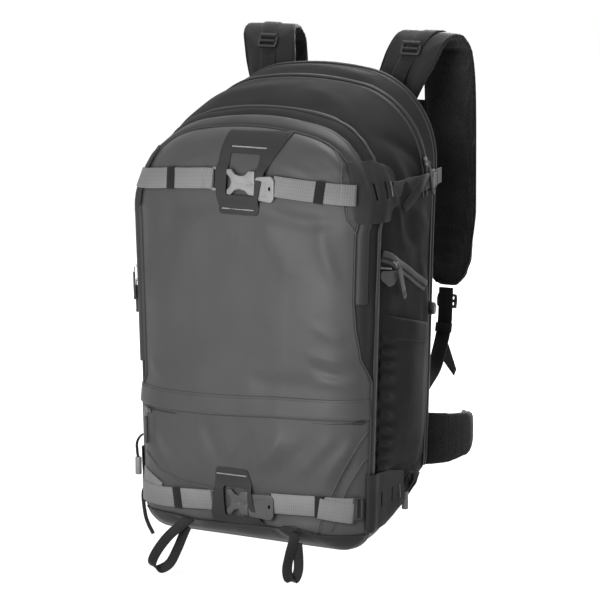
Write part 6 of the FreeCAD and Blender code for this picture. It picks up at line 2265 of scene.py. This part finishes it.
@dataclass
class Harness:
    """Load lifters, lower straps, ladder locks and the sternum strap."""

    width: float = 20.0

    def both(self, name: str, objects: list[bpy.types.Object], body: str, key: str, *nodes: str) -> None:
        """Finish pieces with their mirror images as one piece."""
        twins = [mirrored(obj, f"{obj.name}_twin") for obj in objects]
        piece(join(name, objects + twins), body, key, *nodes)

    def build_lifters(self) -> None:
        """Webbing from the door's upper edge to the straps, with its tail and lock."""
        line = curve_through([(90, 113.4, 529), (93, 118, 546), (98, 128.6, 566), (105.5, 142, 585.5),
                              (112, 158, 599), (116, 176, 600), (117.5, 188, 593)], 3.0)
        across = np.array([1.0, 0, 0])
        lifter = sweep("lifter", side_track(line, across), flat_section(self.width, 1.6, -0.8))
        self.both("load_lifter_webbing", [lifter], "back_door", "black_web", "load_lifters")
        end = np.array([125, 188.6, 280.0])
        fall = curve_through([end + (0, -0.5, -1.5), end + (0.5, -3, -26), end + (1, -7, -50),
                              end + (1, -19, -76), (126, 154, 180), (126, 126, 162), (125, 113, 152.5)], 3.0)
        lower = sweep("lower", side_track(fall, across), flat_section(self.width, 1.6, -0.8))
        keeper = sweep("keeper", side_track(np.array([(126, 181.4, 234.5), (126, 180.0, 229),
                                                      (126, 178.6, 223.5)]), across),
                       flat_section(self.width + 3, 4.6, -2.3))

        def fold_out(u: float, v: float) -> Array:
            """The loose wing's place, standing out from the webbing."""
            return np.array([126 + 0.35 * u, 172 + 0.55 * (u + 11) - 0.12 * v, 208 + v])

        shape = [(-11, 0), (11, 0), (26, -34), (20, -42), (-11, -12)]
        wing = outline_sheet("wing", shape, (), 6, fold_out, 2.0)
        self.both("lower_strap_webbing", [lower, keeper, wing], "back_door", "black_web", "lower_straps")

    def build_locks(self) -> None:
        """The four ladder locks."""
        upper = ladder_lock("upper_lock")
        run = unit(np.array([108, 148.5, 600.5]) - np.array([94, 124.2, 557]))
        out = unit(np.cross(run, np.array([1.0, 0, 0])))
        out = out if out[1] < 0 or out[2] > 0 else -out
        spot = np.array([101.5, 136.6, 579.5])
        Mould.settle(upper, spot + out * 0.3, (1, 0, 0), out)
        lower = ladder_lock("lower_lock")
        Mould.settle(lower, (125.5, 188.4, 262.0), (1, 0, 0), (0, 0.99, -0.12))
        self.both("harness_ladder_locks", [upper, lower], "back_door", "black_plastic", "ladder_locks")

    def build_sternum(self) -> None:
        """Sliding clips, webbing and the buckle of the sternum strap."""
        clip_low, clip_high = node_box("sternum_clips")
        clip = rounded_slab("clip", rounded([(-13.2, -10), (13.2, -10), (13.2, 10), (-13.2, 10)], 3), 3.2,
                            0.8, [cutter(-9.5, -6.5, -8, 8), cutter(2, 5, -8, 8)])
        Mould.settle(clip, (clip_high[0] - 13.2, clip_low[1], 500), (-1, 0, 0), (0, 1, 0))
        self.both("sternum_clip_pair", [clip], "sternum_strap", "black_plastic", "sternum_clips")
        line = curve_through([(22, 214.4, 500), (60, 214.4, 499.2), (100, 214.4, 499.4), (128, 214.4, 500)],
                             4)
        web = sweep("web", side_track(line, np.array([0, 0, 1.0])), flat_section(19.5, 1.5, -0.75))
        self.both("sternum_strap_webbing", [web], "sternum_strap", "black_web", "sternum_webbing")
        low, high = node_box("sternum_buckle")
        half, tall = high[0], (high[2] - low[2]) / 2
        shape = rounded([(-half, -tall), (half - 16, -tall), (half, -tall + 4), (half, tall - 4),
                         (half - 16, tall), (-half, tall)], 3)
        windows = [cutter(-half + 3, -half + 6.4, -10, 10), cutter(-4, 7, tall - 4.6, 20, 2),
                   cutter(-4, 7, -20, -tall + 4.6, 2)]
        obj = rounded_slab("sternum_buckle_body", shape, high[1] - low[1], 1.0, windows)
        Mould.settle(obj, (0, low[1], 500), (1, 0, 0), (0, 1, 0))
        piece(obj, "sternum_strap", "black_plastic", "sternum_buckle")

    def build(self) -> None:
        """Build it all."""
        self.build_lifters()
        self.build_locks()
        self.build_sternum()


@dataclass
class HipBelt:
    """The padded hip wings with their webbing and buckle halves."""

    level: float = 98.0
    height: float = 72.0
    core: float = 7.4

    def wing(self, sign: float) -> None:
        """One wing."""
        side = "right" if sign > 0 else "left"
        knots = [(103.4, 118.8, 98), (120, 121.5, 98), (136, 127, 98), (150, 140, 98), (158, 160, 98),
                 (160, 180, 98), (155, 196, 98), (151.5, 205, 98)]
        line = curve_through(knots, 4.0)
        track = side_track(line, np.array([0, 0, 1.0]))
        share = np.linspace(0, 1, len(line))
        wide = np.interp(share, (0, 0.35, 0.7, 0.9, 1.0), (0.98, 0.94, 0.8, 0.7, 0.5)) * self.height / 2
        core = sweep(f"hip_wing_{side}_pad", track, pad_section(self.core), False, wide)
        if sign < 0:
            core.data.transform(Matrix.Scale(-1, 4, Vector((1, 0, 0))))
            core.data.flip_normals()
        tidy(core)
        Filling(voxel=5.0, limit=4.0).simulate(core)
        piece(core, f"hip_wing_{side}", "mesh", f"hip_wing_{side}")
        strap = self.strap()
        if sign < 0:
            for obj in strap:
                obj.data.transform(Matrix.Scale(-1, 4, Vector((1, 0, 0))))
                obj.data.flip_normals()
        PAINT.dress(strap[0], "black_web")
        PAINT.dress(strap[1], "black_plastic")
        made = join(f"hip_strap_{side}_webbing", strap)
        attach(made, f"hip_wing_{side}")
        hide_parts(f"hip_strap_{side}")

    def strap(self) -> list[bpy.types.Object]:
        """The right wing's webbing and buckle half."""
        start = np.array([149.0, 206.6, self.level])
        line = curve_through([start, start + (-4.6, 13.4, 0), (137.0, 229.5, self.level)], 3.0)
        web = sweep("web", side_track(line, np.array([0, 0, 1.0])), flat_section(25, 1.6, -0.8))
        body = rounded_slab("hip_buckle", rounded([(-12, -15.4), (3, -15.4), (12, -11), (12, 11), (3, 15.4),
                                                   (-12, 15.4)], 4), 5.4, 1.0,
                            [cutter(-9, -5.6, -12.6, 12.6)])
        run = unit(np.array([-6 - 3.06, 9.5, 0]))
        normal = unit(np.cross(run, np.array([0, 0, 1.0])))
        seat = np.array([137.0, 229.5, self.level]) + run * 12.3 - normal * 2.7
        Mould.settle(body, seat, run, normal)
        return [web, body]

    def build(self) -> None:
        """Build both sides."""
        self.wing(1.0)
        self.wing(-1.0)


# ---------------------------------------------------------------- small parts
def build_small_parts(surface: Surface) -> None:
    """The knob on the right edge, the zip garage and the loose tails on the left corner."""
    knob = Mould.rod("knob", 7.6, 9.0, (0, 0, 3.5), "Z", 28)
    neck = Mould.rod("neck", 4.6, 3.0, (0, 0, -1.0), "Z", 24)
    Mould.round_over(knob, 2.2, 3, 30)
    obj = join("edge_knob", [knob, soften(neck, 40)])
    spot, _ = BARE.side(1, 99.0, 268.0)
    Mould.settle(obj, spot + np.array([1.0, 0, 0]), (0, 1, 0), (1, 0.2, 0))
    piece(obj, "root", "black_plastic")

    def garage(y: float, z: float) -> Array:
        """Onto the right side, over the zip's upper end."""
        point, out = surface.side(1, y, z)
        return point + out * 1.8

    cover = outline_sheet("side_zip_garage", rounded([(-59, 328), (-40, 316), (-28, 319), (-20, 326),
                                                      (-24, 334), (-59, 338)], 5), (), 3, garage, 1.0)
    piece(cover, "root", "shell")
    cords = [sweep(f"cord_{index}", side_track(curve_through(knots, 2.0), np.array(side)),
                   flat_section(5.0, 2.2, -1.1)) for index, (knots,
                                                             side) in enumerate(((RIGHT_CORD,
                                                                                  (0.9, -0.4, 0.0)),
                                                                                 (LEFT_CORD,
                                                                                  (0.0, 1.0, 0.0)),
                                                                                 (LEFT_TAIL,
                                                                                  (0.8, 0.5, 0.0))))]
    piece(join("lower_cord_loops", cords), "root", "black_web")
    ends = []
    for index, (x, y, z) in enumerate(((155.5, 25.0, 43.0), (-170.5, -66.0, 67.0))):
        tube = Mould.rod(f"tube_{index}", 4.0, 22.0, (0, 0, 0), "X", 20)
        Mould.punch(tube, [Mould.rod("bore", 2.4, 6.0, (-11.0, 0, 0), "X", 16)])
        Mould.round_over(tube, 0.8)
        ends.append(Mould.settle(tube, (x, y, z), (0.05, 0.0, -1.0), (1, 0, 0)))
    piece(join("cord_end_tubes", ends), "root", "grey_plastic")


# ---------------------------------------------------------------- studio
@dataclass
class Studio:
    """Camera, lights, floor and backdrop."""

    target: tuple[float, float, float] = (16.9, 9.8, 280.0)
    azimuth: float = 30.0
    elevation: float = 10.0
    distance: float = 4000.0
    lens: float = 196.7
    floor_z: float = -62.0

    def build_camera(self) -> None:
        """The camera, level and at the height the pack is seen from."""
        turn, rise = math.radians(self.azimuth), math.radians(self.elevation)
        away = np.array([math.sin(turn) * math.cos(rise), -math.cos(turn) * math.cos(rise), math.sin(rise)])
        data = bpy.data.cameras.new("camera")
        data.lens = self.lens
        data.sensor_width = 36.0
        data.clip_start, data.clip_end = 0.1, 50.0
        camera = bpy.data.objects.new("camera", data)
        bpy.context.scene.collection.objects.link(camera)
        camera.location = to_frame(np.array(self.target) + away * self.distance).tolist()
        camera.rotation_mode = "QUATERNION"
        camera.rotation_quaternion = Vector((-away).tolist()).to_track_quat("-Z", "Y")
        bpy.context.scene.camera = camera

    def add_light(self, name: str, place: Sequence[float], size: float, power: float) -> None:
        """A soft square lamp aimed at the pack's middle."""
        data = bpy.data.lights.new(name, "AREA")
        data.shape = "SQUARE"
        data.size = size
        data.energy = power
        lamp = bpy.data.objects.new(name, data)
        bpy.context.scene.collection.objects.link(lamp)
        where = to_frame(np.array(place, float))
        lamp.location = where.tolist()
        aim = to_frame(np.array([0.0, 0.0, 280.0])) - where
        lamp.rotation_mode = "QUATERNION"
        lamp.rotation_quaternion = Vector(aim.tolist()).to_track_quat("-Z", "Y")

    @staticmethod
    def shown(tree: bpy.types.NodeTree) -> bpy.types.NodeSocket:
        """1 for the rays that show the background: to the eye, off shiny parts and through clear ones."""
        path = PAINT.node(tree, "ShaderNodeLightPath")
        direct = PAINT.math(tree, "MAXIMUM", path.outputs["Is Camera Ray"], path.outputs["Is Glossy Ray"])
        return PAINT.math(tree, "MAXIMUM", direct, path.outputs["Is Transmission Ray"])

    def build_floor(self) -> None:
        """A plain pale floor below the loops."""
        bpy.ops.mesh.primitive_plane_add(size=12)
        floor = bpy.context.object
        floor.name = "floor"
        floor.data.transform(Matrix.Translation(Vector(to_frame(np.array([0, 0, self.floor_z])).tolist())))
        made = bpy.data.materials.new("pale_floor")
        made.use_nodes = True
        tree = made.node_tree
        tree.nodes.clear()
        add = PAINT.node
        matt = add(tree, "ShaderNodeBsdfDiffuse", {"Color": linear("a4a4a4")})
        place = add(tree, "ShaderNodeTexCoord").outputs["Object"]
        level = add(tree, "ShaderNodeVectorMath", {0: place, 1: (1, 1, 0)}, operation="MULTIPLY").outputs[0]
        away = add(tree, "ShaderNodeVectorMath", {0: level}, operation="LENGTH").outputs["Value"]
        glow = add(tree, "ShaderNodeMapRange", {0: away, 1: 0.4, 2: 1.4, 3: 0.84, 4: 1.0}).outputs[0]
        lift = add(tree, "ShaderNodeEmission", {"Color": (1, 1, 1, 1), "Strength": glow})
        both = add(tree, "ShaderNodeAddShader", {0: matt.outputs[0], 1: lift.outputs[0]})
        mixed = add(tree, "ShaderNodeMixShader", {0: self.shown(tree), 1: matt.outputs[0],
                                                  2: both.outputs[0]})
        add(tree, "ShaderNodeOutputMaterial", {"Surface": mixed.outputs[0]})
        floor.data.materials.append(made)

    def build_world(self) -> None:
        """White behind the pack for the eye, and a soft pale fill for the light."""
        world = bpy.data.worlds.new("studio")
        bpy.context.scene.world = world
        world.use_nodes = True
        tree = world.node_tree
        tree.nodes.clear()
        add = PAINT.node
        fill = add(tree, "ShaderNodeBackground", {"Color": linear("e8e8e8"), "Strength": 0.13})
        white = add(tree, "ShaderNodeBackground", {"Color": (1, 1, 1, 1), "Strength": 1.0})
        mixed = add(tree, "ShaderNodeMixShader", {0: self.shown(tree), 1: fill.outputs[0],
                                                  2: white.outputs[0]})
        add(tree, "ShaderNodeOutputWorld", {"Surface": mixed.outputs[0]})

    def build(self) -> None:
        """Build it all."""
        self.build_camera()
        self.build_floor()
        self.build_world()
        self.add_light("key", (40, -800, 330), 0.4, 4.1)
        self.add_light("high", (360, -2570, 1780), 1.3, 21.0)
        self.add_light("rim", (0, 900, 2300), 1.2, 34.0)
        self.add_light("back", (-400, 2300, 1000), 1.3, 60.0)
        scene = bpy.context.scene
        scene.view_settings.view_transform = "Standard"
        scene.view_settings.look = "None"


# ---------------------------------------------------------------- the whole pack
UPPER_PATCH = ((-28.0, 495.0), (-31.0, 470.0), (-32.0, 445.0), (-26.0, 399.0), (27.0, 399.0), (30.0, 425.0),
               (36.0, 452.0), (48.0, 474.0), (57.0, 497.0))
LOWER_PATCH = ((-42.0, 22.0), (-33.0, 60.0), (-30.0, 91.0), (13.0, 91.0), (19.5, 70.0), (22.0, 50.0),
               (36.0, 18.0))
UPPER_KNOTS = ((-154.0, -5.0), (-100.0, 1.5), (-45.0, 5.5), (0.0, 4.5), (46.0, 2.0), (100.0, -1.5),
               (154.0, -6.0))
LOWER_KNOTS = ((-154.0, -8.0), (-110.0, -7.0), (-45.0, -2.0), (0.0, 1.0), (46.0, 4.0), (100.0, 6.0),
               (150.0, 5.0))
LEFT_LOOP = ((-72, -98.6, 21), (-82, -104, 12), (-98, -112, -4), (-112, -117, -24), (-119, -117, -40),
             (-114, -109, -48), (-104, -101, -42), (-95, -97.5, -24), (-87, -97, -6), (-80, -97.6, 8))
RIGHT_LOOP = ((74, -98.6, 20), (72, -101, 8), (68.5, -104, -8), (66.5, -107, -24), (69, -108, -36),
              (74, -103, -38.5), (77.5, -99.5, -28), (77, -98, -12), (75, -97.6, 6))


RIGHT_CORD = ((153, 25, 52), (156, 20, 62), (158, 27, 74), (158.5, 37, 76), (157, 40, 64), (154.5, 27, 53))
LEFT_CORD = ((-151, -66, 108), (-164, -66, 107), (-172, -66, 97), (-172, -66, 84), (-170.5, -66, 76))
LEFT_TAIL = ((-157, -66, 46), (-160, -72, 34), (-152, -80, 10), (-145, -83, -2), (-138, -84, -12))
SEAMS = (
    # the dart of the upper right corner
    ((111, -71, 479.5), (123, -80, 463.6), (129, -86, 447), (136.6, -92.4, 407), (142.5, -91, 395.5),
     (152.6, -85, 377.7)),
    # the two slanting seams of the lower pocket's right corner
    ((157, -71.6, 148.4), (148, -82.6, 129), (136, -90.3, 103.6), (125.4, -95, 79), (113, -98, 50),
     (103, -98, 22)),
    ((158, -54, 133), (152, -77.7, 107.8), (138, -88.7, 76.7), (129, -93, 50), (120, -96, 25)),
    # the hem over the left lower strap
    ((-144, -85, 92), (-128.5, -94, 82.6), (-115.5, -98, 73.7), (-96, -102, 68), (-78, -104, 64),
     (-57, -105, 62), (-37, -105, 61)),
)


def build_shaping_seams(surface: Surface) -> None:
    """Low ridges where the corners are gathered, each with its row of stitches."""
    ridges, rows = [], []
    for index, knots in enumerate(SEAMS):
        track = laid_track(surface, np.array(knots, float), 0.2, 3.0)
        ridges.append(sweep(f"ridge_{index}", track, round_section(2.6, 1.6)))
        rows.append(stitch_line(f"row_{index}", track.moved(3.4, 0.1), 3.0, 0.6))
    piece(join("shaping_seams", ridges), "root", "shell")
    piece(join("shaping_seam_stitches", rows), "root", "thread")


def build_front(surface: Surface) -> None:
    """Everything laid on the front: zips, straps and patches."""
    PipingAndZips(surface).build()
    build_shaping_seams(surface)
    upper = UpperStrap("upper", 434.0, 23.5, 24.4, 438.0, "grey_plastic", surface, UPPER_KNOTS)
    lower = LowerStrap("lower", 50.0, 14.5, 15.4, 50.0, "dark_plastic", surface, LOWER_KNOTS)
    upper.build()
    lower.build()
    keepers = [upper.keeper(-97.0), upper.keeper(106.0), lower.keeper(-89.0), lower.keeper(107.0)]
    piece(join("webbing_keeper_rings", keepers), "root", "elastic", "webbing_keepers")
    CentrePatch(surface, "upper", UPPER_PATCH, (-16.0, 24.0, 422.0, 470.5), 434.0, 14.0,
                ((-16.0, 31.0, 477.5), (-22.0, 22.0, 405.5))).build()
    CentrePatch(surface, "lower", LOWER_PATCH, (-19.5, 15.0, 32.0, 68.5), 50.0, 14.0,
                ((-29.0, 12.0, 83.0),), 5.8, 7.6).build()
    SidePatches(surface).build()


def build_zip_sliders() -> None:
    """All five sliders."""
    left_out = FORM.normal(np.array(-s_at_height(312.0, FRONT_ZIP.depth)),
                           ring_place(np.array(-s_at_height(312.0, FRONT_ZIP.depth)), FRONT_ZIP.depth))
    left = tuple(float(v) for v in left_out)
    ZipSlider("front_upper", (0, 0, 1), left, (-0.12, -0.10, -1)).build()
    ZipSlider("front_lower", (0, 0, 1), left).build()
    low, high = node_box("pocket_slider")
    _, out = BARE.front(float(low[0] + high[0]) / 2, 147.0)
    ZipSlider("pocket", tuple(np.cross(out, (0, 0, 1.0))), tuple(out)).build()
    ZipSlider("side", (0, 0.92, -0.396), (1, 0, 0), (0, 0.36, -0.93), (9.0, 42.0, 3.2)).build()
    turn = math.radians(10)
    ZipSlider("main", (-math.sin(turn), 0, math.cos(turn)), (math.cos(turn), 0, math.sin(turn))).build()


def main() -> None:
    Studio().build()
    surface = BodyShell().build()
    build_front(surface)
    for sign in (1.0, -1.0):
        SidePocket(sign, surface).build()
    build_compression_straps()
    flat = ((0.857, 0.25, -0.45), (0.857, 0.1, -0.52), (0.857, 0, -0.52))
    IceAxeLoop("left", LEFT_LOOP, flat).build()
    IceAxeLoop("right", RIGHT_LOOP, ((0.95, 0.3, 0.0), (0.6, 0.8, 0.0), (0.98, 0.1, 0.1),
                                     (0.95, 0.3, 0.0))).build()
    build_zip_sliders()
    BackPanel().build()
    for sign in (1.0, -1.0):
        ShoulderStrap(sign).build()
    Harness().build()
    HipBelt().build()
    build_small_parts(surface)


if __name__ == "__main__":
    main()
